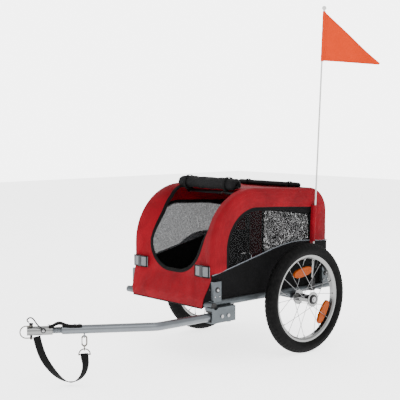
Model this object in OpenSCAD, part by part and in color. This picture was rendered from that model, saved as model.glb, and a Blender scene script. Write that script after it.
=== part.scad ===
// Two-wheeled pet trailer for a bicycle: a folding steel frame with two side arches, a fabric cabin,
// a swinging tow arm with a flexible hitch, and 16 inch push-button wheels.
// Millimetres. +Z is up, the trailer is towed towards -Y and +X is its left side.
// The origin is on the ground under the middle of the whole trailer.

/* [Wheels] */
// Outer diameter of the tyres
tyre_d = 400; // [360:1:420]
// Distance between the middle planes of the two wheels
track_w = 546; // [540:1:552]
// Width of the tyre section
tyre_w = 47; // [40:1:48]
// Spokes in each wheel
spoke_count = 20; // [12:4:32]

/* [Frame] */
// Distance between the two side rails
rail_gap = 425.2; // [424:0.1:426]
// Diameter of the side rails
rail_d = 22; // [20:1:24]
// Diameter of the front and rear cross tubes
cross_d = 23; // [20:1:24]
// Length of the front cross tube with its end plugs
front_tube_w = 470; // [460:1:480]

/* [Cabin] */
// Outer width of the fabric cabin
cabin_w = 424; // [424:0.5:426]
// Radius of the large front curve of the roof
front_r = 210; // [208:1:212]
// Radius of the small rear curve of the roof
rear_r = 90; // [85:1:95]
// Diameter of the arch tubes
arch_d = 16; // [14:0.5:16]
// Thickness of the cabin fabric with its padding
cloth_t = 1.8; // [1.2:0.1:1.8]
// Width of the red border around the side windows
border_w = 68; // [60:1:74]

/* [Tow arm] */
// Diameter of the tow arm
arm_d = 28; // [26:1:28]
// Distance from the pivot to the bend of the arm
arm_straight = 312; // [304:1:320]
// Length from the bend to the open mouth of the hitch
arm_slant = 414; // [410:1:418]
// Length of the hitch sleeve
sleeve_l = 80; // [74:1:84]

/* [Flag] */
// Length of the flag rod
rod_l = 1014; // [900:1:1014]
// Height of the pennant along the rod
pennant_h = 182; // [140:1:190]
// Length of the pennant away from the rod
pennant_l = 248; // [200:1:248]

/* [Hidden] */
$fn = 48;
LEFT = 1;
RIGHT = -1;

red = [0.75, 0.13, 0.17];
black = [0.1, 0.1, 0.1];
steel = [0.6, 0.65, 0.69];
silver = [0.78, 0.79, 0.8];
orange = [0.9, 0.42, 0.08];

// All places below are measured from the wheel axis, which lies this far behind the origin
axle_y = 328.9;

// Wheel
wheel_r = tyre_d / 2;
track = track_w / 2;
tyre_r = tyre_w / 2;
tyre_ring_r = wheel_r - tyre_r;
tyre_wall = 4;
rim_r = 161.3;
rim_in_r = 145;
hub_in = 35;
hub_out = 40;
flange_r = 27;
axle_r = 6;
run_gap = 0.05;
axle_tip = 318;
button_r = 4;
button_out = 1.7;

// Frame
rail_x = rail_gap / 2;
rail_z = 221;
rail_r = rail_d / 2;
rail_back = 201;
front_y = -413;
rear_y = 150;
cross_z = 217;
cross_r = cross_d / 2;
beam_r = 10;
beam_half = 236;
floor_z = rail_z + rail_r;
floor_t = 3;

// Cabin outline: a large front circle, a small rear circle and the line that touches both
cabin_x = cabin_w / 2;
front_c = [-192, 394];
rear_c = [95, 502];
cabin_bottom = 233;
panel_bottom = 298.5;
seam_line = [[-402, 316], [-206, 361], [-95, 387], [-30, 398], [40, 402], [185, 391]];
// Straight steps in each curve of the cabin's outline
arc_steps = 20;
window_rear_c = [82, 492];
window_rear_r = 25;
roof_front = -228;
roof_rear = 98;

// Side arches and their hinges
arch_r = arch_d / 2;
arch_x = cabin_x - cloth_t - arch_r - 0.2;
arch_inset = arch_r + cloth_t + 0.2;
hinge_z = 268;
front_leg = front_c[0] - front_r + arch_inset;
rear_leg = rear_c[0] + rear_r - arch_inset;
pin_r = 4;
bracket_w = 36;
bracket_t = 3;
bracket_out = 222;
bracket_shift = 6;
bracket_ys = [front_leg + bracket_shift, rear_leg - bracket_shift];
bracket_top = 296;
// The floor and the skirts run from bracket to bracket
floor_ys = [bracket_ys[0] + bracket_w / 2 + 2, bracket_ys[1] - bracket_w / 2 - 2];
bar_r = 6;
bar_x = arch_x - 18;
bar_z = 576;
bar_ys = [-150, 60];
bar_pin_r = 3;

// Tow arm
arm_r = arm_d / 2;
arm_wall = 2;
arm_x = 224;
arm_z = 181;
pivot_y = -337;
bend_y = pivot_y - arm_straight;
bend_r = 60;
bend_a = atan(arm_x / 348);
bend_t = bend_r * tan(bend_a / 2);
// Angle of the hairline where the bent tube meets each straight one
weld_a = 0.02;
tube_end = 305;
flex_end = arm_slant - sleeve_l;
flex_mid = (tube_end + flex_end) / 2;
sleeve_r = 14.5;
socket_r = 10.5;
eye_at = 235;
hitch_pin_at = arm_slant - 13;
hitch_pin_r = 4;
bail_z = arm_z + 18.5;
bail_bend_r = 19;
bail_q = 13;
bail_wire_r = 2;
hook_wire = 2.7;
hook_bend_r = 7.5;
hook_top = 152;
hook_bottom = 135;
ring_z = 99.3;
ring_r = 18;
ring_bar_r = 2.2;
gate_gap = 1;
gate_r = 1.8;

// Arm receiver
recv_front = -430;
recv_rear = -322;
recv_z = [160, 212];
recv_roof = 202;
recv_x = [208, 243.5];
recv_t = 3;
rivet_ys = [-385, -356];

// Flag
rod_r = 3;
rod_x = 226.5;
rod_y = 88;
rod_z = 237;
rod_lean = 3.05;
pennant_turn = 20.5;
pennant_z = 822;

// Routes along the second length of the tow arm: [distance from the bend, sideways, height]
strap_w = 24;
strap_t = 2.4;
strap_route = [
  [384, 0, 163], [379.5, 0, 142], [373, 0, 119], [364, 0, 95], [351, 0, 72], [335, 0, 50],
  [316, 0, 30], [297, 0, 17], [278, 0, 12], [261, 0, 16], [246, 0, 28], [236, 0, 46],
  [232, 0, 66], [233, 0, 82], [234, 0, 95]
];
// How far the strap's face has turned at each of those points
strap_twist = [0, 2, 5, 10, 18, 32, 50, 70, 82, 70, 52, 40, 30, 14, 0];
tether_w = 24;
tether_t = 2;
tether_route = [
  [352, 0, 197], [342, 0, 197.4], [334, 0, 200], [326, 0, 205], [318, 0, 207], [310, 0, 206],
  [300, 0, 202], [288, 0, 198], [272, 0, 196.4], [242, 0, 196.4]
];
lanyard_r = 2.2;
lanyard_route = [
  [407, 0, 208.8], [411.5, 0, 212], [412.5, 0, 217.5], [407, 1, 222.5], [400, 2, 223.5], [393, 5, 219],
  [387, 9, 211], [381, 13, 203], [374, 17, 197], [367, 18, 191], [363, 17, 185]
];

// Moves a part from the wheel axis to its place
module at_axle() translate([0, axle_y, 0]) children();

// A part drawn for the left side, or its mirror image for the right side
module on_side(s) {
  if (s == LEFT) children();
  else mirror([1, 0, 0]) children();
}

// Cylinders along the three axes, from one coordinate to another
module rod_x(r, x0, x1) translate([x0, 0, 0]) rotate([0, 90, 0]) cylinder(r = r, h = x1 - x0);
module rod_y(r, y0, y1) translate([0, y1, 0]) rotate([90, 0, 0]) cylinder(r = r, h = y1 - y0);

module block(low, high) translate(low) cube(high - low);

// A wire between two points
module wire(a, b, r) {
  d = b - a;
  l = norm(d);
  translate(a) rotate([0, acos(d[2] / l), atan2(d[1], d[0])]) cylinder(r = r, h = l, $fn = 16);
}

// A drawing of Y and Z, given a thickness along X
module side_plate(x0, x1)
  translate([x0, 0, 0]) rotate([90, 0, 90]) linear_extrude(height = x1 - x0) children();

// A drawing of X and Z, given a depth along Y
module front_plate(y0, y1)
  translate([0, y1, 0]) rotate([90, 0, 0]) linear_extrude(height = y1 - y0) children();

// The frame of the arm's second length: -Y runs from the bend to the hitch, X points to the camera side
module along_arm() at_axle() translate([arm_x, bend_y, 0]) rotate([0, 0, -bend_a]) children();
module at_route(t, q, z) along_arm() translate([q, -t, z]) children();

// ---- swept bands and cords ----

function unit(v) = v / norm(v);
function path_dir(p, i) = unit(p[min(i + 1, len(p) - 1)] - p[max(i - 1, 0)]);
function to_arm(p) = [p[1], -p[0], p[2]];
// A flat section with bevelled long edges, or a round one
function band_section(w, t) = [
  [-w / 2, -t / 4], [-w / 2 + t / 2, -t / 2], [w / 2 - t / 2, -t / 2], [w / 2, -t / 4],
  [w / 2, t / 4], [w / 2 - t / 2, t / 2], [-w / 2 + t / 2, t / 2], [-w / 2, t / 4]
];
function round_section(r) = [for (k = [0:7]) r * [cos(45 * k + 22.5), sin(45 * k + 22.5)]];
// One ring of points: the first section axis lies in the arm's plane and turns by the twist
function ring(c, d, twist, section) =
  let (
    in_plane = unit(cross([1, 0, 0], d)),
    across = unit(cross(d, in_plane)),
    u = cos(twist) * in_plane + sin(twist) * across,
    v = unit(cross(d, u))
  )
  [for (s = section) c + s[0] * u + s[1] * v];

module sweep(points, twists, section) {
  p = [for (q = points) to_arm(q)];
  n = len(p);
  m = len(section);
  rings = [for (i = [0:n - 1]) each ring(p[i], path_dir(p, i), twists[i], section)];
  sides = [
    for (i = [0:n - 2], k = [0:m - 1])
      each [
        [i * m + k, i * m + (k + 1) % m, (i + 1) * m + k],
        [i * m + (k + 1) % m, (i + 1) * m + (k + 1) % m, (i + 1) * m + k]
      ]
  ];
  start = [for (k = [0:m - 1]) m - 1 - k];
  end = [for (k = [0:m - 1]) (n - 1) * m + k];
  along_arm() polyhedron(rings, concat(sides, [start, end]));
}

// ---- outlines of the cabin ----

function turn(a) = [cos(a), sin(a)];
// Direction from both centres to the points where the roof line touches the two circles
function touch_angle(c1, r1, c2, r2) =
  atan2(c2[1] - c1[1], c2[0] - c1[0]) + acos((r1 - r2) / norm(c2 - c1));

// Filled outline of two arcs, the line that touches both and straight sides down to z0
module dome(c1, r1, c2, r2, z0) {
  a = touch_angle(c1, r1, c2, r2);
  polygon(concat(
    [[c1[0] - r1, z0]],
    [for (i = [0:arc_steps]) c1 + r1 * turn(180 - i * (180 - a) / arc_steps)],
    [for (i = [0:arc_steps]) c2 + r2 * turn(a - i * a / arc_steps)],
    [[c2[0] + r2, z0]]
  ));
}

module cabin_outline(inset, z0) dome(front_c, front_r - inset, rear_c, rear_r - inset, z0);

module above_seam() polygon(concat(seam_line, [[500, 391], [500, 900], [-700, 900], [-700, 316]]));
module below_seam() polygon(concat(seam_line, [[500, 391], [500, 0], [-700, 0], [-700, 316]]));

module window_outline(grow) intersection() {
  dome(front_c, front_r - border_w + grow, window_rear_c, window_rear_r + grow, 300);
  above_seam();
}

// The fabric skin over the arches, as wide as the cabin between its side panels
module skin() side_plate(-cabin_x + cloth_t + 0.2, cabin_x - cloth_t - 0.2) difference() {
  cabin_outline(0, cabin_bottom);
  cabin_outline(cloth_t, cabin_bottom - 1);
}

// ---- frame ----

module side_rail(s) color(steel) at_axle() on_side(s) difference() {
  translate([rail_x, 0, rail_z]) difference() {
    rod_y(rail_r, front_y, rail_back);
    rod_y(rail_r - 1.5, front_y - 1, rail_back + 1);
  }
  translate([0, front_y, cross_z]) rod_x(cross_r, 0, 260);
}

module left_rail() side_rail(LEFT);
module right_rail() side_rail(RIGHT);

module cross_tubes() color(steel) at_axle() {
  half = front_tube_w / 2 - 3;
  translate([0, front_y, cross_z]) difference() {
    rod_x(cross_r, -half, half);
    rod_x(cross_r - 1.5, -half - 1, half + 1);
  }
  difference() {
    translate([0, rear_y, cross_z]) difference() {
      rod_x(cross_r, -rail_x, rail_x);
      rod_x(cross_r - 1.5, -rail_x - 1, rail_x + 1);
    }
    for (s = [-1, 1]) translate([s * rail_x, 0, rail_z]) rod_y(rail_r, 100, 200);
  }
}

module end_plugs() color(black) at_axle() {
  half = front_tube_w / 2;
  for (s = [LEFT, RIGHT]) on_side(s) {
    translate([0, front_y, cross_z]) {
      rod_x(cross_r - 1.5, half - 20, half - 3);
      rod_x(cross_r, half - 3, half);
    }
    translate([rail_x, 0, rail_z]) {
      rod_y(rail_r - 1.5, rail_back - 15, rail_back);
      rod_y(rail_r, rail_back, rail_back + 4);
    }
  }
}

module axle_beam() color(steel) at_axle() translate([0, 0, wheel_r]) difference() {
  rod_x(beam_r, -beam_half, beam_half);
  for (s = [LEFT, RIGHT]) on_side(s) rod_x(axle_r + run_gap, 176, beam_half + 1);
}

module axle_saddles() color(steel) at_axle() for (s = [LEFT, RIGHT]) on_side(s) difference() {
  block([rail_x - 9, -24, wheel_r - 4], [rail_x + 9, 24, rail_z + 2]);
  translate([rail_x, 0, rail_z]) rod_y(rail_r, -30, 30);
  translate([0, 0, wheel_r]) rod_x(beam_r, 150, 240);
}

// Channels that stand on the rails, open towards the middle, and hold the hinge pins
module hinge_brackets() color(steel) at_axle() for (s = [LEFT, RIGHT], y = bracket_ys) on_side(s) difference() {
  block([190, y - bracket_w / 2, rail_z + 2], [bracket_out, y + bracket_w / 2, bracket_top]);
  block([189, y - bracket_w / 2 + bracket_t, rail_z + 22],
        [bracket_out - bracket_t, y + bracket_w / 2 - bracket_t, bracket_top + 1]);
  translate([rail_x, 0, rail_z]) rod_y(rail_r, -450, 250);
  translate([0, front_y, cross_z]) rod_x(cross_r, 150, 260);
  translate([0, rear_y, cross_z]) rod_x(cross_r, 150, 260);
  translate([arch_x, 0, hinge_z]) rod_y(pin_r, y - bracket_w, y + bracket_w);
}

module hinge_pins() color(silver) at_axle() for (s = [LEFT, RIGHT], y = bracket_ys) on_side(s)
  translate([arch_x, y, hinge_z]) {
    rod_y(pin_r, -bracket_w / 2, bracket_w / 2);
    rod_y(7, -bracket_w / 2 - 4, -bracket_w / 2);
    rod_y(7, bracket_w / 2, bracket_w / 2 + 4);
  }

module floor_panel() color(black) at_axle()
  block([-209.5, floor_ys[0], floor_z], [209.5, floor_ys[1], floor_z + floor_t]);

// The fixed lower edge of the side panels, sewn to the floor between the brackets
module side_skirts() color(black) at_axle() for (s = [LEFT, RIGHT]) on_side(s)
  block([cabin_x - cloth_t, floor_ys[0], cabin_bottom], [cabin_x, floor_ys[1], panel_bottom - 2]);

// ---- side arches ----

// Follows the arch with a round section: two legs, two curves and the roof line
module arch_sweep(r) {
  a = touch_angle(front_c, front_r, rear_c, rear_r);
  r1 = front_r - arch_inset;
  r2 = rear_r - arch_inset;
  roof_l = sqrt(pow(norm(rear_c - front_c), 2) - pow(r1 - r2, 2));
  translate([arch_x, 0, 0]) {
    translate([0, front_leg, hinge_z]) cylinder(r = r, h = front_c[1] - hinge_z);
    translate([0, rear_leg, hinge_z]) cylinder(r = r, h = rear_c[1] - hinge_z);
    translate([0, front_c[0], front_c[1]]) rotate([90, 0, 90]) rotate([0, 0, a]) {
      rotate_extrude(angle = 180 - a) translate([r1, 0]) circle(r = r);
      translate([r1, 0, 0]) rotate([90, 0, 0]) cylinder(r = r, h = roof_l);
    }
    translate([0, rear_c[0], rear_c[1]]) rotate([90, 0, 90])
      rotate_extrude(angle = a) translate([r2, 0]) circle(r = r);
  }
}

module side_arch(s) color(steel) at_axle() on_side(s) difference() {
  union() {
    arch_sweep(arch_r);
    for (y = bracket_ys) translate([arch_x, y, hinge_z])
      rod_y(9, -bracket_w / 2 + bracket_t + 0.2, bracket_w / 2 - bracket_t - 0.2);
    for (y = bar_ys, e = [-1, 1]) translate([0, y + e * 9, 0])
      side_lug();
  }
  for (y = bracket_ys) translate([arch_x, y, hinge_z]) rod_y(pin_r + run_gap, -20, 20);
  for (y = bar_ys) translate([bar_x, y, bar_z]) rod_y(bar_pin_r + run_gap, -20, 20);
}

// One of the two cheeks, welded to the arch, that a folding top bar turns between
module side_lug() front_plate(-1.5, 1.5) {
  translate([bar_x, bar_z]) circle(r = 8);
  polygon([[bar_x - 5, bar_z + 6], [bar_x + 3, bar_z - 7], [arch_x + 2, bar_z + 8], [arch_x - 4, bar_z + 14]]);
}

module left_arch() side_arch(LEFT);
module right_arch() side_arch(RIGHT);

// Two half bars that reach the middle, with mitred ends that let the middle drop
module top_bars(s) color(steel) at_axle() on_side(s) for (y = bar_ys) translate([0, y, bar_z]) {
  difference() {
    union() {
      rod_x(bar_r, 0.3, bar_x);
      translate([bar_x, 0, 0]) rod_y(7, -7, 7);
    }
    translate([0.3, 0, bar_r]) rotate([0, -45, 0]) translate([-30, -20, -40]) cube([30, 40, 60]);
  }
  translate([bar_x, 0, 0]) rod_y(bar_pin_r, -13, 13);
}

module left_top_bars() top_bars(LEFT);
module right_top_bars() top_bars(RIGHT);

// ---- cabin fabric ----

module side_cover(s) color(red) at_axle() on_side(s) side_plate(cabin_x - cloth_t, cabin_x)
  difference() {
    intersection() {
      cabin_outline(0, cabin_bottom);
      above_seam();
    }
    window_outline(0);
  }

module left_side_cover() side_cover(LEFT);
module right_side_cover() side_cover(RIGHT);

module lower_panel(s) color(black) at_axle() on_side(s) side_plate(cabin_x - cloth_t, cabin_x)
  intersection() {
    cabin_outline(0, panel_bottom);
    below_seam();
  }

module left_lower_panel() lower_panel(LEFT);
module right_lower_panel() lower_panel(RIGHT);

module window_mesh(s) color([0.2, 0.2, 0.2]) at_axle() on_side(s)
  side_plate(cabin_x - cloth_t - 1, cabin_x - cloth_t) window_outline(8);

module left_window_mesh() window_mesh(LEFT);
module right_window_mesh() window_mesh(RIGHT);

// The large front opening, drawn in X and Z
module front_opening() {
  translate([-137, 427]) square([274, 150]);
  for (x = [-22, 22]) translate([x, 427]) circle(r = 115);
  translate([-22, 312]) square([44, 120]);
  polygon([[-137, 500], [137, 500], [158, 620], [-158, 620]]);
}

// The front wall curves over the arches, and its lower edge flares over the cross tube
module front_cover() color(red) at_axle() difference() {
  union() {
    intersection() {
      skin();
      block([-300, -500, 300], [300, roof_front, 700]);
    }
    intersection() {
      side_plate(-300, 300) polygon([
        [-402, 300], [-427, 236], [-427, 203], [-427 + cloth_t, 203], [-427 + cloth_t, 236],
        [-402 + cloth_t, 300]
      ]);
      block([-188, -500, 200], [188, -300, 301]);
    }
  }
  front_plate(-500, roof_front - 0.01) front_opening();
}

module roof_cover() color(red) at_axle() intersection() {
  skin();
  block([-300, roof_front, 480], [300, roof_rear, 700]);
}

module rear_cover() color(red) at_axle() intersection() {
  skin();
  union() {
    block([-300, roof_rear, bracket_top + 4], [300, 300, 700]);
    block([-186, roof_rear, cabin_bottom - 1], [186, 300, bracket_top + 5]);
  }
}

// A rolled-up cover that lies on the roof, flat where it rests
module roll(centre, r, half) color(black) at_axle() difference() {
  translate([0, centre[0], centre[1]]) rod_x(r, -half, half);
  side_plate(-half - 1, half + 1) cabin_outline(-0.3, cabin_bottom);
}

module front_roll() roll([-222, 615], 26, 148);
module rear_roll() roll([88, 598], 11.5, 162);

module reflective_tabs() color(silver) at_axle() for (s = [LEFT, RIGHT]) on_side(s)
  block([130, -409.5, 308], [206, -402.2, 348]);

// ---- flag ----

module at_rod() at_axle() translate([rod_x, rod_y, rod_z]) rotate([-rod_lean, 0, 0]) children();

module flag_socket() color(black) difference() {
  at_axle() block([rail_x, rod_y - 9, rail_z - 9], [rod_x + 7, rod_y + 10, rail_z + 38]);
  at_axle() translate([rail_x, 0, rail_z]) rod_y(rail_r, 0, 180);
  at_rod() cylinder(r = rod_r + run_gap, h = 60);
}

module flag_rod() color("white") at_rod() cylinder(r = rod_r, h = rod_l);

module flag_tip() color("white") at_rod() translate([0, 0, rod_l]) difference() {
  translate([0, 0, 2]) sphere(r = 8);
  translate([0, 0, -10]) cylinder(r = rod_r, h = 10);
}

// A fabric sleeve on the side cover that steadies the rod
module flag_pocket() color(red) at_rod() translate([0, 0, 144]) difference() {
  union() {
    cylinder(r = 8, h = 140);
    translate([cabin_x + 0.2 - rod_x, -12, 0]) cube([4, 24, 140]);
  }
  translate([0, 0, -1]) cylinder(r = rod_r + 0.4, h = 142);
}

module pennant() color(orange) at_rod() translate([0, 0, pennant_z]) rotate([0, 0, -pennant_turn])
  difference() {
    union() {
      cylinder(r = rod_r + 1.2, h = pennant_h);
      side_plate(-0.5, 0.5) polygon([[0, 0], [0, pennant_h], [pennant_l, 12], [pennant_l, 4]]);
    }
    translate([0, 0, -1]) cylinder(r = rod_r + run_gap, h = pennant_h + 2);
  }

// ---- wheels ----

module at_wheel(s) at_axle() on_side(s) translate([0, 0, wheel_r]) rotate([0, 90, 0]) children();

module tyre(s) color(black) at_wheel(s) rotate_extrude($fn = 96) difference() {
  translate([tyre_ring_r, track]) circle(r = tyre_r);
  translate([tyre_ring_r, track]) circle(r = tyre_r - tyre_wall);
  translate([100, track - 40]) square([rim_r - 100, 80]);
}

module rim(s) color(silver) at_wheel(s) rotate_extrude($fn = 96) translate([0, track]) polygon([
  [rim_in_r, -8], [rim_in_r, 8], [151, 13], [rim_r, 14], [rim_r, 11], [154, 9], [154, -9],
  [rim_r, -11], [rim_r, -14], [151, -13]
]);

// Spokes lean both ways from each flange and meet the rim near its middle
module spokes(s) color(silver) at_axle() on_side(s) translate([track, 0, wheel_r])
  for (i = [0:spoke_count - 1]) {
    out = i % 2 == 0 ? 1 : -1;
    lean = i % 4 < 2 ? 1 : -1;
    at_rim = i * 360 / spoke_count;
    at_hub = at_rim + lean * 58;
    x_hub = (out > 0 ? hub_out - 3 : -hub_in + 3) + lean * 1.4;
    wire(
      [x_hub, (flange_r - 4) * cos(at_hub), (flange_r - 4) * sin(at_hub)],
      [out * 3, (rim_in_r + 0.5) * cos(at_rim), (rim_in_r + 0.5) * sin(at_rim)], 1
    );
  }

module hub(s) color(silver) at_wheel(s) rotate_extrude() difference() {
  union() {
    translate([0, track - hub_in]) square([14, hub_in + hub_out]);
    translate([0, track - hub_in + 1.6]) square([flange_r, 0.9]);
    translate([0, track - hub_in + 3.5]) square([flange_r, 0.9]);
    translate([0, track + hub_out - 2.5]) square([flange_r, 0.9]);
    translate([0, track + hub_out - 4.4]) square([flange_r, 0.9]);
  }
  translate([-1, 0]) square([1 + axle_r + run_gap, 400]);
}

// The quick-release axle runs through the hub into the beam, and the button sits in its head
module wheel_axle(s) color(steel) at_axle() on_side(s) translate([0, 0, wheel_r]) difference() {
  union() {
    rod_x(axle_r, 180, axle_tip - button_out);
    rod_x(10, track + hub_out + 0.3, axle_tip - button_out);
  }
  rod_x(button_r + run_gap, axle_tip - 26, axle_tip + 1);
}

module button(s) color(silver) at_axle() on_side(s) translate([0, 0, wheel_r])
  rod_x(button_r, axle_tip - 20, axle_tip);

// Two reflectors between the two planes of spokes
module reflectors(s) color(orange) at_axle() on_side(s) translate([track, 0, wheel_r])
  for (place = [[99, 97], [-33, 117]]) rotate([place[0] - 90, 0, 0]) translate([0, 0, place[1]])
    block([-3, -44, -15], [3, 44, 15]);

module left_tyre() tyre(LEFT);
module left_rim() rim(LEFT);
module left_spokes() spokes(LEFT);
module left_hub() hub(LEFT);
module left_axle() wheel_axle(LEFT);
module left_button() button(LEFT);
module left_reflectors() reflectors(LEFT);
module right_tyre() tyre(RIGHT);
module right_rim() rim(RIGHT);
module right_spokes() spokes(RIGHT);
module right_hub() hub(RIGHT);
module right_axle() wheel_axle(RIGHT);
module right_button() button(RIGHT);
module right_reflectors() reflectors(RIGHT);

// ---- tow arm ----

module bolt_hole(r) translate([arm_x, pivot_y, 100]) cylinder(r = r, h = 150);
module rivet_holes(r) for (y = rivet_ys) translate([0, y, arm_z]) rod_x(r, 230, 260);

// A channel under the left rail, open towards the middle so that the arm can swing out
module arm_receiver() color(steel) at_axle() difference() {
  block([recv_x[0], recv_front, recv_z[0]], [recv_x[1], recv_rear, recv_z[1]]);
  block([recv_x[0] - 1, recv_front - 1, recv_z[0] + recv_t], [recv_x[1] - recv_t, recv_rear + 1, recv_roof]);
  translate([rail_x, 0, rail_z]) rod_y(rail_r, -450, 0);
  translate([0, front_y, cross_z]) rod_x(cross_r, 150, 260);
  bolt_hole(5);
  rivet_holes(2.5);
}

module receiver_liner() color(black) at_axle() difference() {
  block([recv_x[0] + 1, recv_front + 1, recv_z[0] + recv_t], [recv_x[1] - recv_t, recv_rear - 1, recv_roof]);
  block([recv_x[0], recv_front, arm_z - arm_r - 0.3], [arm_x + arm_r + 0.4, recv_rear, arm_z + arm_r + 0.3]);
  bolt_hole(5);
  rivet_holes(2.5);
}

// The arm's pivot bolt, and the rivets that hold the liner to the channel's wall
module receiver_bolts() color(silver) at_axle() {
  translate([arm_x, pivot_y, 0]) {
    translate([0, 0, recv_z[0] - 4]) cylinder(r = 5, h = recv_roof + 6 - recv_z[0] + 4);
    translate([0, 0, recv_z[0] - 6]) cylinder(r = 9, h = 6, $fn = 6);
  }
  for (y = rivet_ys) translate([0, y, arm_z]) {
    rod_x(2.5, recv_x[1] - recv_t - 1.5, recv_x[1] + 1);
    rod_x(6, recv_x[1], recv_x[1] + 3);
  }
}

// A tube along Y, open at both ends
module arm_tube(y0, y1) difference() {
  rod_y(arm_r, y0, y1);
  rod_y(arm_r - arm_wall, y0 - 1, y1 + 1);
}

// Two straight tubes and the bend between them, with a rounded end around the pivot bolt
module tow_arm() color(steel) {
  at_axle() difference() {
    union() {
      translate([arm_x, 0, arm_z]) rod_y(arm_r, bend_y + bend_t, pivot_y);
      intersection() {
        translate([arm_x, 0, arm_z]) rod_y(arm_r, pivot_y, pivot_y + 20);
        translate([arm_x, pivot_y, arm_z - 20]) cylinder(r = arm_r, h = 40);
      }
    }
    translate([arm_x, 0, arm_z]) rod_y(arm_r - arm_wall, bend_y + bend_t - 1, pivot_y + 8);
    bolt_hole(5 + run_gap);
  }
  at_axle() translate([arm_x - bend_r, bend_y + bend_t, arm_z]) rotate([0, 0, -bend_a + weld_a])
    rotate_extrude(angle = bend_a - 2 * weld_a) translate([bend_r, 0]) difference() {
      circle(r = arm_r);
      circle(r = arm_r - arm_wall);
    }
  at_route(0, 0, arm_z) arm_tube(-tube_end, -bend_t);
}

module strap_eye() color(steel) difference() {
  at_route(eye_at, 0, arm_z - 20) rotate([90, 0, 0]) rotate_extrude() translate([7, 0]) circle(r = 2, $fn = 24);
  at_route(0, 0, arm_z) rod_y(arm_r, -eye_at - 20, -eye_at + 20);
}

module flex_spring() color(steel) at_route(0, 0, arm_z) {
  rod_y(8.4, -flex_end, -tube_end);
  rod_y(arm_r - arm_wall, -tube_end, -tube_end + 6);
  for (k = [0:5]) translate([0, -tube_end - 2.4 - k * 4.84, 0]) rotate([90, 0, 0])
    rotate_extrude() translate([8.4, 0]) circle(r = 2.35, $fn = 24);
}

module hitch_sleeve() color(silver) at_route(0, 0, arm_z) difference() {
  rod_y(sleeve_r, -arm_slant, -flex_end);
  rod_y(socket_r, -arm_slant - 1, -flex_end - 20);
  translate([0, -hitch_pin_at, -30]) cylinder(r = hitch_pin_r, h = 60);
}

module hitch_pin() color([0.3, 0.3, 0.32]) at_route(hitch_pin_at, 0, 0) difference() {
  union() {
    translate([0, 0, 154]) cylinder(r = hitch_pin_r, h = 46);
    translate([0, 0, arm_z + sleeve_r]) cylinder(r = 6, h = 7);
    translate([0, 0, arm_z + sleeve_r + 7]) cylinder(r = 7, h = 3.5);
  }
  translate([0, 0, bail_z]) rod_x(bail_wire_r + run_gap, -20, 20);
}

// Spring wire that hinges in the pin's neck, passes the mouth and closes under the pin
module hitch_bail() color(silver) at_route(hitch_pin_at, 0, bail_z) {
  rod_x(bail_wire_r, -7.5, bail_q);
  translate([bail_q, 0, 0]) {
    rod_y(bail_wire_r, -15, 0);
    translate([0, -15, -bail_bend_r]) rotate([90, 0, 90]) rotate([0, 0, 90])
      rotate_extrude(angle = 180) translate([bail_bend_r, 0]) circle(r = bail_wire_r, $fn = 24);
    translate([0, 0, -2 * bail_bend_r]) rod_y(bail_wire_r, -15, 5);
  }
}

// ---- straps ----

module safety_strap() color(black) sweep(strap_route, strap_twist, band_section(strap_w, strap_t));

module tether_strap() color(black)
  sweep(tether_route, [for (p = tether_route) 90], band_section(tether_w, tether_t));

module pin_lanyard() color(black)
  sweep(lanyard_route, [for (p = lanyard_route) 0], round_section(lanyard_r));

// A D-shaped ring: the strap hangs from its straight bar
module strap_ring() color(silver) at_route(eye_at, 0, ring_z) {
  rod_y(ring_bar_r, -ring_r - 2, ring_r + 2);
  rotate([90, 0, 90]) rotate_extrude(angle = 180) translate([ring_r, 0]) circle(r = 2, $fn = 24);
}

// A swivel snap hook: a lower eye, a barrel and a long wire loop that the gate closes
module snap_hook() color(silver) at_route(eye_at, 0, 0) {
  translate([0, 0, ring_z + ring_r + 2.1]) rotate([90, 0, 0]) rotate_extrude() translate([6, 0]) circle(r = 1.8, $fn = 24);
  translate([0, 0, ring_z + ring_r + 7.2]) cylinder(r = 4, h = 5);
  translate([0, 0, hook_bottom]) rotate([90, 0, 90]) rotate([0, 0, 180])
    rotate_extrude(angle = 180) translate([hook_bend_r, 0]) circle(r = hook_wire, $fn = 24);
  translate([0, 0, hook_top]) rotate([90, 0, 90])
    rotate_extrude(angle = 180) translate([hook_bend_r, 0]) circle(r = hook_wire, $fn = 24);
  translate([0, hook_bend_r, hook_bottom]) cylinder(r = hook_wire, h = hook_top - hook_bottom, $fn = 24);
}

module snap_gate() color(silver) at_route(eye_at + hook_bend_r, 0, hook_bottom + gate_gap)
  cylinder(r = gate_r, h = hook_top - hook_bottom - 2 * gate_gap, $fn = 24);

left_rail();
right_rail();
cross_tubes();
end_plugs();
axle_beam();
axle_saddles();
hinge_brackets();
hinge_pins();
floor_panel();
side_skirts();
flag_socket();
arm_receiver();
receiver_liner();
receiver_bolts();
left_axle();
right_axle();
left_arch();
left_side_cover();
left_lower_panel();
left_window_mesh();
left_top_bars();
right_arch();
right_side_cover();
right_lower_panel();
right_window_mesh();
right_top_bars();
front_cover();
roof_cover();
rear_cover();
front_roll();
rear_roll();
reflective_tabs();
flag_pocket();
flag_rod();
flag_tip();
pennant();
left_tyre();
left_rim();
left_spokes();
left_hub();
left_button();
left_reflectors();
right_tyre();
right_rim();
right_spokes();
right_hub();
right_button();
right_reflectors();
tow_arm();
strap_eye();
flex_spring();
hitch_sleeve();
hitch_pin();
hitch_bail();
pin_lanyard();
safety_strap();
strap_ring();
snap_hook();
snap_gate();
tether_strap();
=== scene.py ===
"""Looks of a two-wheeled bicycle pet trailer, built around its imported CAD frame.

Places are written in millimetres. Y is measured from the wheel axis and Z from the ground, and place() turns
them into the row frame's metres. X is positive on the trailer's left side, where the tow arm is.
"""

import math

import bpy
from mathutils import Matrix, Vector, noise


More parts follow.
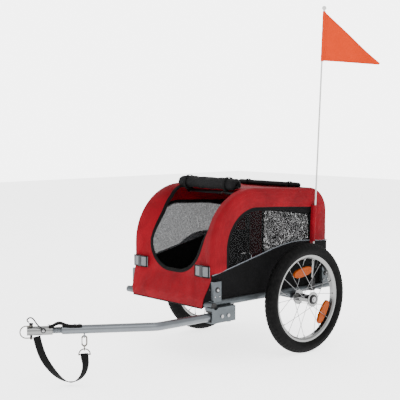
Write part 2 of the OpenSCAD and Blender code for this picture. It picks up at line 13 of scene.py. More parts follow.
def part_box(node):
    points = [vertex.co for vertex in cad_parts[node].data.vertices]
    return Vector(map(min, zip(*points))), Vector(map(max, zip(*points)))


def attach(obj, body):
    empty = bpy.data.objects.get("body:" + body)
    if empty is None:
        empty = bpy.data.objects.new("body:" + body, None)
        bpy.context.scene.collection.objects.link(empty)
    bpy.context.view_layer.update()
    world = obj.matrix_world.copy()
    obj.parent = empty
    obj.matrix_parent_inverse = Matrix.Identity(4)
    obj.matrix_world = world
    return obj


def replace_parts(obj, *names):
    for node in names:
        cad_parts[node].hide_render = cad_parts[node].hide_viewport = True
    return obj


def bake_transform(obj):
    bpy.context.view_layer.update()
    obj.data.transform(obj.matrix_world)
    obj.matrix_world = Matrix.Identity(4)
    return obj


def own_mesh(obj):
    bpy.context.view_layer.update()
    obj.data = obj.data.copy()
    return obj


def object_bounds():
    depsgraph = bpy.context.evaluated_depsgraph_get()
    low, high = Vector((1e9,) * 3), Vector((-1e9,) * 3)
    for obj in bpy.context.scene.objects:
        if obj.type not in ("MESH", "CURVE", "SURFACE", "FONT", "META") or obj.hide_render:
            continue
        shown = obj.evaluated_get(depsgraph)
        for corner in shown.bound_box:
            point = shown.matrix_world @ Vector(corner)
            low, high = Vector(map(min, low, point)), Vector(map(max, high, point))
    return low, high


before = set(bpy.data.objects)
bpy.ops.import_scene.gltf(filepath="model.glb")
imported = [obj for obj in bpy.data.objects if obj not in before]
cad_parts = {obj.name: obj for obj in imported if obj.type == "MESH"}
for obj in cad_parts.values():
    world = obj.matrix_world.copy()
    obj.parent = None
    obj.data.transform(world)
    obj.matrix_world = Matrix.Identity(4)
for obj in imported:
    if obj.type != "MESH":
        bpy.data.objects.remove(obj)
CAD_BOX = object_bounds()

MM = 0.001
LEFT = 1
RIGHT = -1
SIDES = {"left": LEFT, "right": RIGHT}
WHEEL_LOW, WHEEL_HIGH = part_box("left_tyre")
AXLE_Y = (WHEEL_LOW.y + WHEEL_HIGH.y) / 2
WHEEL_R = (WHEEL_HIGH.z - WHEEL_LOW.z) / 2 / MM
TRACK = (WHEEL_HIGH.x + WHEEL_LOW.x) / 2 / MM


def place(x, y, z):
    """A point in the row frame from millimetres, with Y measured from the wheel axis."""
    return Vector((x * MM, AXLE_Y + y * MM, z * MM))


# ---- camera ----

CAMERA_AT = (2560.5, -2561.9, 839.1)
CAMERA_AZIMUTH = math.radians(48.13)
CAMERA_DOWN = math.radians(4.74)
CAMERA_LENS = 85.81


def make_camera():
    camera = bpy.data.objects.new("camera", bpy.data.cameras.new("camera"))
    bpy.context.collection.objects.link(camera)
    camera.location = place(*CAMERA_AT)
    look = Vector((-math.sin(CAMERA_AZIMUTH) * math.cos(CAMERA_DOWN),
                   math.cos(CAMERA_AZIMUTH) * math.cos(CAMERA_DOWN), -math.sin(CAMERA_DOWN)))
    camera.rotation_euler = look.to_track_quat("-Z", "Y").to_euler()
    camera.data.lens = CAMERA_LENS
    camera.data.sensor_width = 36
    bpy.context.scene.camera = camera


make_camera()


# ---- node helpers ----


class Nodes:
    """Builds one material's node tree around a Principled shader."""

    def __init__(self, name, color, roughness, metallic=0.0, **sockets):
        self.material = bpy.data.materials.new(name)
        self.material.use_nodes = True
        self.tree = self.material.node_tree
        self.shader = self.tree.nodes["Principled BSDF"]
        self.shader.inputs["Base Color"].default_value = (*color, 1)
        self.shader.inputs["Roughness"].default_value = roughness
        self.shader.inputs["Metallic"].default_value = metallic
        for socket, value in sockets.items():
            self.shader.inputs[socket.replace("_", " ").title().replace("Ior", "IOR")].default_value = value
        self.where = self.tree.nodes.new("ShaderNodeTexCoord").outputs["Object"]

    def link(self, a, b):
        self.tree.links.new(a, b)

    def add(self, kind, vector=None, **values):
        """A new node with its sockets set, and its vector linked where one is given."""
        node = self.tree.nodes.new(kind)
        for socket, value in values.items():
            node.inputs[socket.replace("_", " ")].default_value = value
        if vector is not None:
            self.link(vector, node.inputs["Vector"])
        return node

    def mapped(self, scale):
        return self.add("ShaderNodeMapping", self.where, Scale=scale).outputs["Vector"]

    def noise(self, scale, detail=4.0, rough=0.55, vector=None, distortion=0.0):
        return self.add("ShaderNodeTexNoise", vector or self.where, Scale=scale, Detail=detail,
                        Roughness=rough, Distortion=distortion).outputs["Fac"]

    def cells(self, scale):
        return self.add("ShaderNodeTexVoronoi", self.where, Scale=scale).outputs["Distance"]

    def wave(self, scale, direction, distortion=0.0):
        node = self.add("ShaderNodeTexWave", self.where, Scale=scale, Distortion=distortion)
        node.bands_direction = direction
        return node.outputs["Fac"]

    def math(self, operation, a, b):
        node = self.tree.nodes.new("ShaderNodeMath")
        node.operation = operation
        for i, value in enumerate((a, b)):
            if isinstance(value, (int, float)):
                node.inputs[i].default_value = value
            else:
                self.link(value, node.inputs[i])
        return node.outputs[0]

    def ramp(self, factor, stops):
        node = self.tree.nodes.new("ShaderNodeValToRGB")
        for element, (at, color) in zip(node.color_ramp.elements, stops):
            element.position = at
            element.color = (*color, 1)
        self.link(factor, node.inputs["Fac"])
        return node.outputs["Color"]

    def blend(self, factor, a, b, mode="MIX"):
        node = self.tree.nodes.new("ShaderNodeMix")
        node.data_type = "RGBA"
        node.blend_type = mode
        for socket, value in ((node.inputs["Factor"], factor), (node.inputs[6], a), (node.inputs[7], b)):
            if isinstance(value, (tuple, float)):
                socket.default_value = (*value, 1) if isinstance(value, tuple) else value
            else:
                self.link(value, socket)
        return node.outputs[2]

    def color(self, value):
        self.link(value, self.shader.inputs["Base Color"])

    def roughness(self, factor, low, high):
        node = self.add("ShaderNodeMapRange", To_Min=low, To_Max=high)
        self.link(factor, node.inputs["Value"])
        self.link(node.outputs["Result"], self.shader.inputs["Roughness"])

    def bump(self, *layers):
        """Layers are (height, distance in metres), from the coarsest to the finest."""
        normal = None
        for height, distance in layers:
            node = self.add("ShaderNodeBump", Strength=1.0, Distance=distance)
            self.link(height, node.inputs["Height"])
            if normal is not None:
                self.link(normal, node.inputs["Normal"])
            normal = node.outputs["Normal"]
        self.link(normal, self.shader.inputs["Normal"])

    def weave(self, per_metre):
        """Threads that cross at right angles on faces of any direction."""
        x, y, z = (self.wave(per_metre, axis) for axis in "XYZ")
        return self.math("MULTIPLY", self.math("ADD", self.math("ADD", x, y), z), 1 / 3)


def hump(f, power=1.0):
    """0 at both ends of 0 to 1 and 1 in the middle."""
    return max(0.0, math.sin(math.pi * f)) ** power


def shade(color, share):
    return tuple(min(1.0, c * share) for c in color)


# ---- materials ----


def cloth_material(name, color, per_metre=260, shine=0.08, crease_shade_amount=0.12, rough=(0.62, 0.8)):
    """Coated woven polyester: threads, slubs and soft creases; the creases' shade and highlight are painted
    into the colour as darker and lighter patches.
    """
    n = Nodes(name, color, 0.7, specular_ior_level=shine)
    weave = n.weave(per_metre)
    creases = n.noise(9, 3, 0.5, distortion=0.6)
    slubs = n.noise(420, 2, 0.6, n.mapped((1, 1, 0.15)))
    # Painted shade and highlight: the colour is darker and lighter in large patches along the creases noise
    crease_shading = n.ramp(creases, [(0.3, shade(color, 1 - crease_shade_amount)), (0.72, shade(color, 1 + 1.3 * crease_shade_amount))])
    threads = n.ramp(weave, [(0.2, (0.82, 0.82, 0.82)), (0.8, (1.06, 1.06, 1.06))])
    n.color(n.blend(1.0, crease_shading, threads, "MULTIPLY"))
    n.roughness(slubs, *rough)
    n.bump((n.noise(24, 3, 0.5), 0.003), (weave, 0.0004), (slubs, 0.0002))
    return n.material


def mesh_material(name, color, solid, streak, scale=95, distortion=2.2):
    """Open knitted mesh: the holes are clear, and the threads bunch up in wavy bands."""
    n = Nodes(name, color, 0.75, specular_ior_level=0.1)
    bands = n.noise(scale, 2, 0.5, n.mapped((1, 1, 0.7)), distortion=distortion)
    holes = n.cells(520)
    density = n.math("ADD", n.math("MULTIPLY", bands, streak), solid - streak / 2)
    density = n.math("ADD", density, n.math("MULTIPLY", n.math("SUBTRACT", 0.45, holes), 0.35))
    clamp = n.add("ShaderNodeClamp")
    n.link(density, clamp.inputs["Value"])
    n.link(clamp.outputs[0], n.shader.inputs["Alpha"])
    n.color(n.ramp(bands, [(0.3, shade(color, 0.7)), (0.7, shade(color, 1.5))]))
    n.bump((holes, 0.0004))
    return n.material


def zinc_material(name, color, rough=(0.3, 0.48), spangle=0.1):
    """Zinc-plated tube: faint spangle, drawn marks and duller patches."""
    n = Nodes(name, color, 0.4, 0.85)
    spangles = n.cells(160)
    stain = n.noise(22, 5, 0.6)
    marks = n.noise(700, 2, 0.5, n.mapped((1, 0.03, 1)))
    base = n.ramp(stain, [(0.25, shade(color, 1 - 1.6 * spangle)), (0.75, shade(color, 1 + spangle))])
    n.color(n.blend(n.math("MULTIPLY", spangles, 0.35), base, shade(color, 0.8)))
    n.roughness(n.math("ADD", n.math("MULTIPLY", stain, 0.7), n.math("MULTIPLY", marks, 0.3)), *rough)
    n.bump((stain, 0.0003), (marks, 0.00008))
    return n.material


def bright_material(name, color, rough=(0.12, 0.3)):
    """Bright plated or polished metal with fine scratches and handling marks."""
    n = Nodes(name, color, 0.2, 1.0)
    smears = n.noise(60, 4, 0.6)
    scratches = n.noise(900, 2, 0.7, n.mapped((1, 0.08, 0.5)))
    n.color(n.ramp(smears, [(0.3, shade(color, 0.86)), (0.7, color)]))
    n.roughness(n.math("ADD", n.math("MULTIPLY", smears, 0.6), n.math("MULTIPLY", scratches, 0.4)), *rough)
    n.bump((scratches, 0.00005))
    return n.material


def plastic_material(name, color, rough=(0.38, 0.55), grain=700, coat=0.0):
    """Moulded plastic with a fine grain and scuffs that are slightly lighter."""
    n = Nodes(name, color, 0.45, coat_weight=coat, specular_ior_level=0.22)
    scuffs = n.noise(45, 6, 0.7)
    skin = n.noise(grain, 2, 0.5)
    n.color(n.ramp(scuffs, [(0.45, color), (0.8, tuple(min(1, 0.006 + 1.25 * c) for c in color))]))
    n.roughness(scuffs, *rough)
    n.bump((skin, 0.00012))
    return n.material


def tyre_material():
    """Black rubber with grey dust in the low places and fine moulding lines."""
    n = Nodes("tyre_rubber", (0.002, 0.002, 0.002), 0.7, specular_ior_level=0.06)
    dust = n.noise(70, 5, 0.65)
    pores = n.cells(1100)
    n.color(n.ramp(dust, [(0.42, (0.0012, 0.0012, 0.0013)), (0.78, (0.0055, 0.0054, 0.0052))]))
    n.roughness(dust, 0.55, 0.8)
    n.bump((n.noise(160, 3, 0.5), 0.0004), (pores, 0.0001))
    return n.material


def reflector_material():
    """Orange lens with small prisms behind a glossy face."""
    color = (0.26, 0.042, 0.0001)
    n = Nodes("orange_lens", color, 0.25, coat_weight=0.04, coat_roughness=0.15, specular_ior_level=0.06)
    prisms = n.cells(330)
    n.color(n.ramp(prisms, [(0.1, shade(color, 1.25)), (0.55, shade(color, 0.72))]))
    n.roughness(n.noise(90), 0.14, 0.28)
    n.bump((prisms, 0.0006))
    return n.material


def reflective_tape_material():
    """Silver reflective tape: diagonal hatching, tiny beads, and duller scuffs."""
    color = (0.085, 0.092, 0.1)
    n = Nodes("reflective_tape", color, 0.35, 0.25)
    hatch = n.wave(110, "DIAGONAL")
    scuffs = n.noise(60, 4, 0.6)
    base = n.ramp(hatch, [(0.25, shade(color, 0.5)), (0.75, shade(color, 1.35))])
    n.color(n.blend(n.math("MULTIPLY", scuffs, 0.3), base, shade(color, 0.65)))
    n.roughness(scuffs, 0.28, 0.5)
    n.bump((hatch, 0.0002), (n.cells(1500), 0.00006))
    return n.material


def webbing_material(name, color, per_metre=330):
    """Flat woven webbing: diagonal ribs with fuzz on top."""
    n = Nodes(name, color, 0.75, specular_ior_level=0.1)
    ribs = n.wave(per_metre, "DIAGONAL", 0.3)
    fuzz = n.noise(900, 3, 0.6)
    n.color(n.ramp(ribs, [(0.2, shade(color, 0.6)), (0.8, shade(color, 1.7))]))
    n.roughness(fuzz, 0.6, 0.85)
    n.bump((ribs, 0.0005), (fuzz, 0.00015))
    return n.material


RED = (0.15, 0.0006, 0.0048)
MATERIALS = {
    "red": cloth_material("red_cloth", RED, shine=0.1, crease_shade_amount=0.26),
    "black": cloth_material("black_cloth", (0.0024, 0.0024, 0.0026), 240, 0.06, 0.3),
    "roll": cloth_material("rolled_black_cloth", (0.003, 0.003, 0.0033), 200, 0.1, 0.4, (0.55, 0.75)),
    "binding": webbing_material("binding_tape", (0.0012, 0.0012, 0.0013), 420),
    "webbing": webbing_material("black_webbing", (0.0022, 0.0022, 0.0022)),
    "piping": webbing_material("grey_piping", (0.12, 0.13, 0.145), 500),
    # The right window's mesh is lighter grey and denser than the left one's black mesh: painted light shining
    # through the far window from behind
    "mesh": mesh_material("window_mesh", (0.07, 0.073, 0.078), 0.8, 0.22, 150),
    "side_mesh": mesh_material("side_window_mesh", (0.004, 0.0042, 0.0045), 0.46, 0.15, 120),
    "coarse_mesh": mesh_material("wavy_window_mesh", (0.01, 0.01, 0.0105), 0.77, 2.1, 62, 3.6),
    "zinc": zinc_material("zinc_steel", (0.074, 0.084, 0.091), (0.34, 0.55), 0.2),
    "arm": zinc_material("arm_steel", (0.122, 0.132, 0.143), (0.24, 0.4), 0.12),
    "bright": bright_material("bright_steel", (0.26, 0.26, 0.265)),
    "wire": bright_material("hook_steel", (0.1, 0.094, 0.082), (0.22, 0.4)),
    "alloy": bright_material("polished_alloy", (0.19, 0.192, 0.19), (0.16, 0.3)),
    "sleeve": bright_material("hitch_alloy", (0.185, 0.186, 0.184), (0.2, 0.34)),
    "spoke": bright_material("spoke_steel", (0.2, 0.2, 0.205), (0.25, 0.4)),
    "dark_steel": bright_material("dark_steel", (0.02, 0.02, 0.022), (0.3, 0.5)),
    "paint": plastic_material("black_paint", (0.0022, 0.0022, 0.0024), (0.35, 0.5), 400),
    "plastic": plastic_material("black_plastic", (0.004, 0.004, 0.0043)),
    "rod": plastic_material("white_fibreglass", (0.42, 0.42, 0.41), (0.25, 0.4), 500, 0.1),
    "tyre": tyre_material(),
    "lens": reflector_material(),
    "tape": reflective_tape_material(),
    "pennant": cloth_material("pennant_nylon", (0.5, 0.03, 0.0002), 300, 0.08, 0.06, (0.5, 0.65)),
    "red_thread": plastic_material("red_thread", (0.25, 0.006, 0.009), (0.6, 0.8)),
    "grey_thread": plastic_material("grey_thread", (0.03, 0.03, 0.033), (0.6, 0.8)),
}
# The CAD parts that take each material
SHARP_EDGE = math.radians(50)
CAD_MATERIALS = {
    "zinc": ["left_rail", "right_rail", "cross_tubes", "axle_beam", "axle_saddles", "hinge_brackets",
             "arm_receiver"],
    "paint": ["left_arch", "right_arch", "left_top_bars", "right_top_bars"],
    "arm": ["tow_arm", "strap_eye", "flex_spring"],
    "bright": ["hinge_pins", "receiver_bolts", "left_axle", "right_axle", "left_button", "right_button"],
    "wire": ["hitch_bail", "strap_ring", "snap_hook", "snap_gate"],
    "spoke": ["left_spokes", "right_spokes"],
    "alloy": ["left_rim", "right_rim", "left_hub", "right_hub"],
    "sleeve": ["hitch_sleeve"],
    "dark_steel": ["hitch_pin"],
    "plastic": ["end_plugs", "flag_socket", "receiver_liner"],
    "rod": ["flag_rod", "flag_tip"],
}
for key, names in CAD_MATERIALS.items():
    for cad_name in names:
        node_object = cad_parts[cad_name]
        node_object.data.materials.clear()
        node_object.data.materials.append(MATERIALS[key])


# ---- mesh helpers ----


def mesh_piece(name, points, faces, key, smooth=True):
    mesh = bpy.data.meshes.new(name)
    mesh.from_pydata([tuple(p) for p in points], [], faces)
    mesh.validate()
    mesh.materials.append(MATERIALS[key])
    for polygon in mesh.polygons:
        polygon.use_smooth = smooth
    if smooth:
        mesh.set_sharp_from_angle(angle=SHARP_EDGE)
    piece = bpy.data.objects.new(name, mesh)
    bpy.context.collection.objects.link(piece)
    return piece


def joined(name, parts, key, smooth=True):
    """One piece from several lists of (points, faces)."""
    points, faces = [], []
    for part_points, part_faces in parts:
        base = len(points)
        points += part_points
        faces += [tuple(base + i for i in face) for face in part_faces]
    return mesh_piece(name, points, faces, key, smooth)


def grid_normals(grid):
    rows, columns = len(grid), len(grid[0])
    normals = []
    for i in range(rows):
        line = []
        for j in range(columns):
            along = grid[min(i + 1, rows - 1)][j] - grid[max(i - 1, 0)][j]
            across = grid[i][min(j + 1, columns - 1)] - grid[i][max(j - 1, 0)]
            line.append(along.cross(across).normalized())
        normals.append(line)
    return normals


def sheet_shell(grid, thickness):
    """Points and faces of a closed sheet of that thickness in millimetres, centred on a grid of points."""
    rows, columns = len(grid), len(grid[0])
    normals = grid_normals(grid)
    half = thickness * MM / 2
    points = [grid[i][j] + normals[i][j] * half for i in range(rows) for j in range(columns)]
    points += [grid[i][j] - normals[i][j] * half for i in range(rows) for j in range(columns)]
    under = rows * columns
    faces = []
    for i in range(rows - 1):
        for j in range(columns - 1):
            a, d = i * columns + j, (i + 1) * columns + j
            faces += [(a, d, d + 1, a + 1), (under + a, under + a + 1, under + d + 1, under + d)]
    rim = list(range(columns))
    rim += [i * columns + columns - 1 for i in range(1, rows)]
    rim += [(rows - 1) * columns + j for j in range(columns - 2, -1, -1)]
    rim += [i * columns for i in range(rows - 2, 0, -1)]
    for a, b in zip(rim, rim[1:] + rim[:1]):
        faces.append((a, b, under + b, under + a))
    return points, faces


def lattice(rows, columns, point):
    """A grid of rows + 1 by columns + 1 points, each from its two step numbers."""
    return [[point(i, j) for j in range(columns + 1)] for i in range(rows + 1)]


def tube_faces(rings, sides, closed=False):
    """Faces between successive rings of points, and over both ends unless the rings close on themselves."""
    faces = []
    for i in range(rings if closed else rings - 1):
        for k in range(sides):
            near, far = i * sides, (i + 1) % rings * sides
            after = (k + 1) % sides
            faces.append((near + k, near + after, far + after, far + k))
    if not closed:
        faces.append(tuple(range(sides - 1, -1, -1)))
        faces.append(tuple((rings - 1) * sides + k for k in range(sides)))
    return faces


def sweep_shell(path, section, facing, closed=False):
    """Points and faces of a section swept along a path, its second axis turned toward the given facing."""
    count = len(path)
    points = []
    for i, centre in enumerate(path):
        ahead = path[(i + 1) % count] if closed else path[min(i + 1, count - 1)]
        behind = path[i - 1] if closed or i else path[0]
        forward = (ahead - behind).normalized()
        toward = facing[i] if isinstance(facing, list) else facing
        out = (toward - forward * toward.dot(forward)).normalized()
        across = forward.cross(out)
        points += [centre + across * (a * MM) + out * (b * MM) for a, b in section]
    return points, tube_faces(count, len(section), closed)


def round_section(radius, sides=10):
    return [(radius * math.cos(2 * math.pi * k / sides), radius * math.sin(2 * math.pi * k / sides))
            for k in range(sides)]


def band_section(width, thickness):
    w, t, c = width / 2, thickness / 2, thickness / 2
    half = [(-w, -t / 2), (-w + c, -t), (0, -t * 1.04), (w - c, -t), (w, -t / 2)]
    return half + [(-a, -b) for a, b in half]


def smooth_path(points, steps=6):
    """A Catmull-Rom curve through the points."""
    path = []
    for i in range(len(points) - 1):
        p0, p1 = points[max(i - 1, 0)], points[i]
        p2, p3 = points[i + 1], points[min(i + 2, len(points) - 1)]
        for k in range(steps):
            t = k / steps
            path.append(0.5 * (2 * p1 + (p2 - p0) * t + (2 * p0 - 5 * p1 + 4 * p2 - p3) * t * t
                               + (3 * p1 - p0 - 3 * p2 + p3) * t ** 3))
    return path + [points[-1]]


def path_length(path):
    return sum((b - a).length for a, b in zip(path, path[1:]))


def resampled(points, count):
    """count + 1 points at equal distances along a polyline."""
    lengths = [0.0]
    for a, b in zip(points, points[1:]):
        lengths.append(lengths[-1] + (b - a).length)
    result, k = [], 0
    for i in range(count + 1):
        want = lengths[-1] * i / count
        while k < len(lengths) - 2 and lengths[k + 1] < want:
            k += 1
        span = lengths[k + 1] - lengths[k]
        result.append(points[k].lerp(points[k + 1], (want - lengths[k]) / span if span else 0))
    return result


def stitches(name, paths, key, pitch=5.0, length=3.2, radius=0.45):
    """Rows of thread stitches along lists of (point, outward direction)."""
    parts = []
    for path in paths:
        places = [p for p, _ in path]
        outs = [o for _, o in path]
        count = max(2, int(path_length(places) / (pitch * MM)))
        spots = resampled(places, count)
        for i in range(count):
            forward = (spots[i + 1] - spots[i]).normalized()
            out = outs[min(len(outs) - 1, int((i + 0.5) / count * len(outs)))]
            across = forward.cross(out).normalized()
            middle = spots[i].lerp(spots[i + 1], 0.5)
            a, b = middle - forward * length * MM / 2, middle + forward * length * MM / 2
            ring = [across * radius * MM, out * radius * MM * 1.5, -across * radius * MM, -out * radius * MM]
            points = [a] + [middle + r for r in ring] + [b]
            faces = [(0, 1, 2), (0, 2, 3), (0, 3, 4), (0, 4, 1), (5, 2, 1), (5, 3, 2), (5, 4, 3), (5, 1, 4)]
            parts.append((points, faces))
    return joined(name, parts, key, False)


def crease(point, amount, size, stretch=(1, 1, 1)):
    """A smooth height in millimetres that wanders with the place, for folds in cloth."""
    p = Vector((point.x * stretch[0], point.y * stretch[1], point.z * stretch[2])) / (size * MM)
    return amount * (noise.noise(p) + 0.45 * noise.noise(p * 2.1 + Vector((7.3, 1.9, 4.1))))


# ---- hitch straps: the routes repeat those of the CAD frame ----

ARM_X = 224
BEND_Y = -649
BEND = math.atan(ARM_X / 348)


def on_arm(t, q, z):
    """A point from its distance past the arm's bend, its sideways place and its height."""
    x = ARM_X - t * math.sin(BEND) + q * math.cos(BEND)
    return place(x, BEND_Y - t * math.cos(BEND) - q * math.sin(BEND), z)


ARM_SIDE = Vector((math.cos(BEND), -math.sin(BEND), 0))
UP = Vector((0, 0, 1))
OUTWARD = Vector((1, 0, 0))
FORWARD = Vector((0, -1, 0))
BACKWARD = Vector((0, 1, 0))
STRAP_W = 24
STRAP_T = 2.4
STRAP_ROUTE = [
    (384, 0, 163), (379.5, 0, 142), (373, 0, 119), (364, 0, 95), (351, 0, 72), (335, 0, 50),
    (316, 0, 30), (297, 0, 17), (278, 0, 12), (261, 0, 16), (246, 0, 28), (236, 0, 46),
    (232, 0, 66), (233, 0, 82), (234, 0, 95),
]
STRAP_TWIST = [0, 2, 5, 10, 18, 32, 50, 70, 82, 70, 52, 40, 30, 14, 0]
TETHER_W = 26
TETHER_T = 2
TETHER_ROUTE = [
    (346, 0, 197.2), (339, 0, 197.8), (331, 0, 201), (323, 0, 205.5), (314, 0, 207.5), (305, 0, 206),
    (296, 0, 202), (286, 0, 198.4), (272, 0, 196.6), (242, 0, 196.4),
]
TUBE_R = 15.8
LANYARD_R = 2.2
LANYARD_ROUTE = [
    (407, 0, 208.8), (411.5, 0, 212), (412.5, 0, 217.5), (407, 1, 222.5), (400, 2, 223.5), (393, 5, 219),
    (387, 9, 211), (381, 13, 203), (374, 17, 197), (367, 18, 191), (363, 17, 185),
]
STITCH_PLACE = 9.5
STITCH_LIFT = 1.25


def twisted_facing(path, twists):
    """The direction of a strap's flat face at each point, turned about the strap from the arm's plane."""
    facing = []
    for i, _ in enumerate(path):
        forward = (path[min(i + 1, len(path) - 1)] - path[max(i - 1, 0)]).normalized()
        in_plane = ARM_SIDE.cross(forward).normalized()
        across = forward.cross(in_plane)
        angle = math.radians(twists[i])
        width = in_plane * math.cos(angle) + across * math.sin(angle)
        facing.append(forward.cross(width).normalized())
    return facing


def spread(values, steps=6):
    """Values between the route's points, to match smooth_path()."""
    result = []
    for a, b in zip(values, values[1:]):
        result += [a + (b - a) * k / steps for k in range(steps)]
    return result + [values[-1]]


def edge_path(path, facing, side):
    """A line of (point, outward direction) near one edge of the safety strap."""
    line = []
    for i, p in enumerate(path):
        forward = (path[min(i + 1, len(path) - 1)] - path[max(i - 1, 0)]).normalized()
        out = facing[i]
        line.append((p + forward.cross(out) * side * STITCH_PLACE * MM + out * STITCH_LIFT * MM, out))
    return line


def make_safety_strap():
    path = smooth_path([on_arm(*p) for p in STRAP_ROUTE])
    facing = twisted_facing(path, spread(STRAP_TWIST))
    strap = joined("safety_webbing", [sweep_shell(path, band_section(STRAP_W, STRAP_T), facing)], "webbing")
    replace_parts(strap, "safety_strap")
    rows = [edge_path(path, facing, side) for side in (-1, 1)]
    back = [[(p - o * 2 * STITCH_LIFT * MM, -o) for p, o in row] for row in rows]
    thread = stitches("safety_webbing_stitches", rows + back, "grey_thread", 4.5)
    # The end of the strap is folded up over the ring's straight bar and sewn to itself
    loop = [on_arm(235.2, 3.9 * math.cos(a), 98.9 + 3.9 * math.sin(a))
            for a in [math.pi * k / 12 for k in range(1, 12)]]
    fold_path = [on_arm(234, 3.4, 84), on_arm(235, 3.8, 92)] + loop
    fold_path += [on_arm(235, -3.8, 92), on_arm(234, -3.2, 84)]
    out = [(p - on_arm(235, 0, 92)).normalized() for p in fold_path]
    fold = joined("safety_webbing_fold", [sweep_shell(fold_path, band_section(STRAP_W, 1.8), out)], "webbing")
    for piece in (strap, thread):
        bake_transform(piece)
    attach(fold, "tow_arm")


def make_lanyard():
    path = smooth_path([on_arm(*p) for p in LANYARD_ROUTE])
    shell = sweep_shell(path, round_section(LANYARD_R, 12), ARM_SIDE + UP * 0.3)
    cord = joined("pin_cord", [shell], "plastic")
    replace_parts(cord, "pin_lanyard")
    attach(cord, "hitch")


def make_tether():
    path = smooth_path([on_arm(*p) for p in TETHER_ROUTE])

    def draped(i, k):
        u = TETHER_W * (k / 12 - 0.5)
        drop = TUBE_R - math.sqrt(TUBE_R ** 2 - u ** 2)
        return path[i] + (ARM_SIDE * u - UP * drop) * MM

    grid = lattice(len(path) - 1, 12, draped)
    tether = joined("flex_tether", [sheet_shell(grid, TETHER_T)], "webbing")
    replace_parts(tether, "tether_strap")
    rows = [[(p + (ARM_SIDE * side * 8 - UP * 0.9) * MM, UP) for p in path] for side in (-1, 1)]
    thread = stitches("flex_tether_stitches", rows, "grey_thread", 4.5)
    for piece in (tether, thread):
        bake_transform(piece)


make_safety_strap()
make_lanyard()
make_tether()


# ---- the cabin's outline ----

CABIN_X = 212
FRONT_HALF = 188
EDGE_R = 13
FRONT_C, FRONT_R = (-192, 394), 210
REAR_C, REAR_R = (95, 502), 90
SPAN = math.hypot(REAR_C[0] - FRONT_C[0], REAR_C[1] - FRONT_C[1])
TOUCH = math.atan2(REAR_C[1] - FRONT_C[1], REAR_C[0] - FRONT_C[0]) + math.acos((FRONT_R - REAR_R) / SPAN)
FLARE = [(-427, 203), (-427, 236), (-402, 300)]
CABIN_LOW = 233
PANEL_LOW = 231.8
HINGE_Z = 268
SEAM = [(-402, 316), (-206, 361), (-95, 387), (-30, 398), (40, 402), (185, 391)]
SEAM_ROUNDING = 28
REAR_Y = 185
COVER_Z = 300
ROOF_FRONT = -228
ROOF_REAR = 98


def unit_angle(a):
    return math.cos(a), math.sin(a)


def outline_pieces():
    """The side view of the cabin as (y, z, outward y, outward z), from the front hem over the roof."""
    line = [(*FLARE[0], -1, 0), (*FLARE[1], -1, 0)]
    line += [(-427 + 25 * k / 4, 236 + 64 * k / 4, -0.95, 0.3) for k in (1, 2, 3)]
    line += [(-402, 300, -1, 0.05)]
    line += [(-402, 300 + 94 * k / 6, -1, 0) for k in range(1, 6)]
    for k in range(41):
        c, s = unit_angle(math.pi + (TOUCH - math.pi) * k / 40)
        line.append((FRONT_C[0] + FRONT_R * c, FRONT_C[1] + FRONT_R * s, c, s))
    c, s = unit_angle(TOUCH)
    y0, z0 = FRONT_C[0] + FRONT_R * c, FRONT_C[1] + FRONT_R * s
    y1, z1 = REAR_C[0] + REAR_R * c, REAR_C[1] + REAR_R * s
    for k in range(1, 24):
        line.append((y0 + (y1 - y0) * (k / 24), z0 + (z1 - z0) * (k / 24), c, s))
    for k in range(31):
        c, s = unit_angle(TOUCH * (1 - k / 30))
        line.append((REAR_C[0] + REAR_R * c, REAR_C[1] + REAR_R * s, c, s))
    line += [(REAR_Y, REAR_C[1] - (REAR_C[1] - CABIN_LOW) * k / 20, 1, 0) for k in range(1, 21)]
    return line


OUTLINE = outline_pieces()
LENGTHS = [0.0]
for a, b in zip(OUTLINE, OUTLINE[1:]):
    LENGTHS.append(LENGTHS[-1] + math.hypot(b[0] - a[0], b[1] - a[1]))


def outline(s):
    """The outline's (y, z, outward y, outward z) at a distance s from the front hem."""
    s = min(max(s, 0), LENGTHS[-1])
    k = 0
    while k < len(LENGTHS) - 2 and LENGTHS[k + 1] < s:
        k += 1
    f = (s - LENGTHS[k]) / (LENGTHS[k + 1] - LENGTHS[k])
    return tuple(a + (b - a) * f for a, b in zip(OUTLINE[k], OUTLINE[k + 1]))


def distance_at(test):
    """The first distance along the outline where the test holds."""
    s = 0.0
    while s < LENGTHS[-1] and not test(*outline(s)):
        s += 1.0
    return s


def seam_z(y):
    for (y0, z0), (y1, z1) in zip(SEAM, SEAM[1:]):
        if y <= y1:
            return z0 + (z1 - z0) * (y - y0) / (y1 - y0)
    return SEAM[-1][1]


def smooth_seam(y):
    """The seam with its corners rounded off."""
    return sum(seam_z(min(max(y + SEAM_ROUNDING * k / 4, SEAM[0][0]), SEAM[-1][0])) for k in range(-4, 5)) / 9


S_ROOF_FRONT = distance_at(lambda y, z, ny, nz: z > 560 and y > ROOF_FRONT)
S_ROOF_REAR = distance_at(lambda y, z, ny, nz: z > 560 and y > ROOF_REAR)
S_COVER = distance_at(lambda y, z, ny, nz: z > COVER_Z)
TOP_X = CABIN_X - EDGE_R


def fold_side(side, *pieces):
    """Roof, front and rear pieces ride on the root body, each with a mesh of its own."""
    for piece in pieces:
        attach(piece, "root")
        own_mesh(piece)


def ride_side(side, *pieces):
    for piece in pieces:
        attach(piece, "left_side" if side == LEFT else "right_side")


def flip(grid, side):
    """A left-hand grid of points, or its mirror image with its faces still pointing outward."""
    if side == LEFT:
        return grid
    return [[Vector((-p.x, p.y, p.z)) for p in reversed(row)] for row in grid]


def flip_line(line, side):
    return [(Vector((p.x * side, p.y, p.z)), Vector((o.x * side, o.y, o.z))) for p, o in line]


def mirrored(points, side):
    return [Vector((p.x * side, p.y, p.z)) for p in points]


# ---- side borders, windows and lower panels ----

ROWS = 130
FLAT_STEPS = 13


def border_width(f):
    """Width of the red border at a share f of the way from front to rear."""
    return 68 + 5 * min(max((f - 0.55) / 0.3, 0), 1)


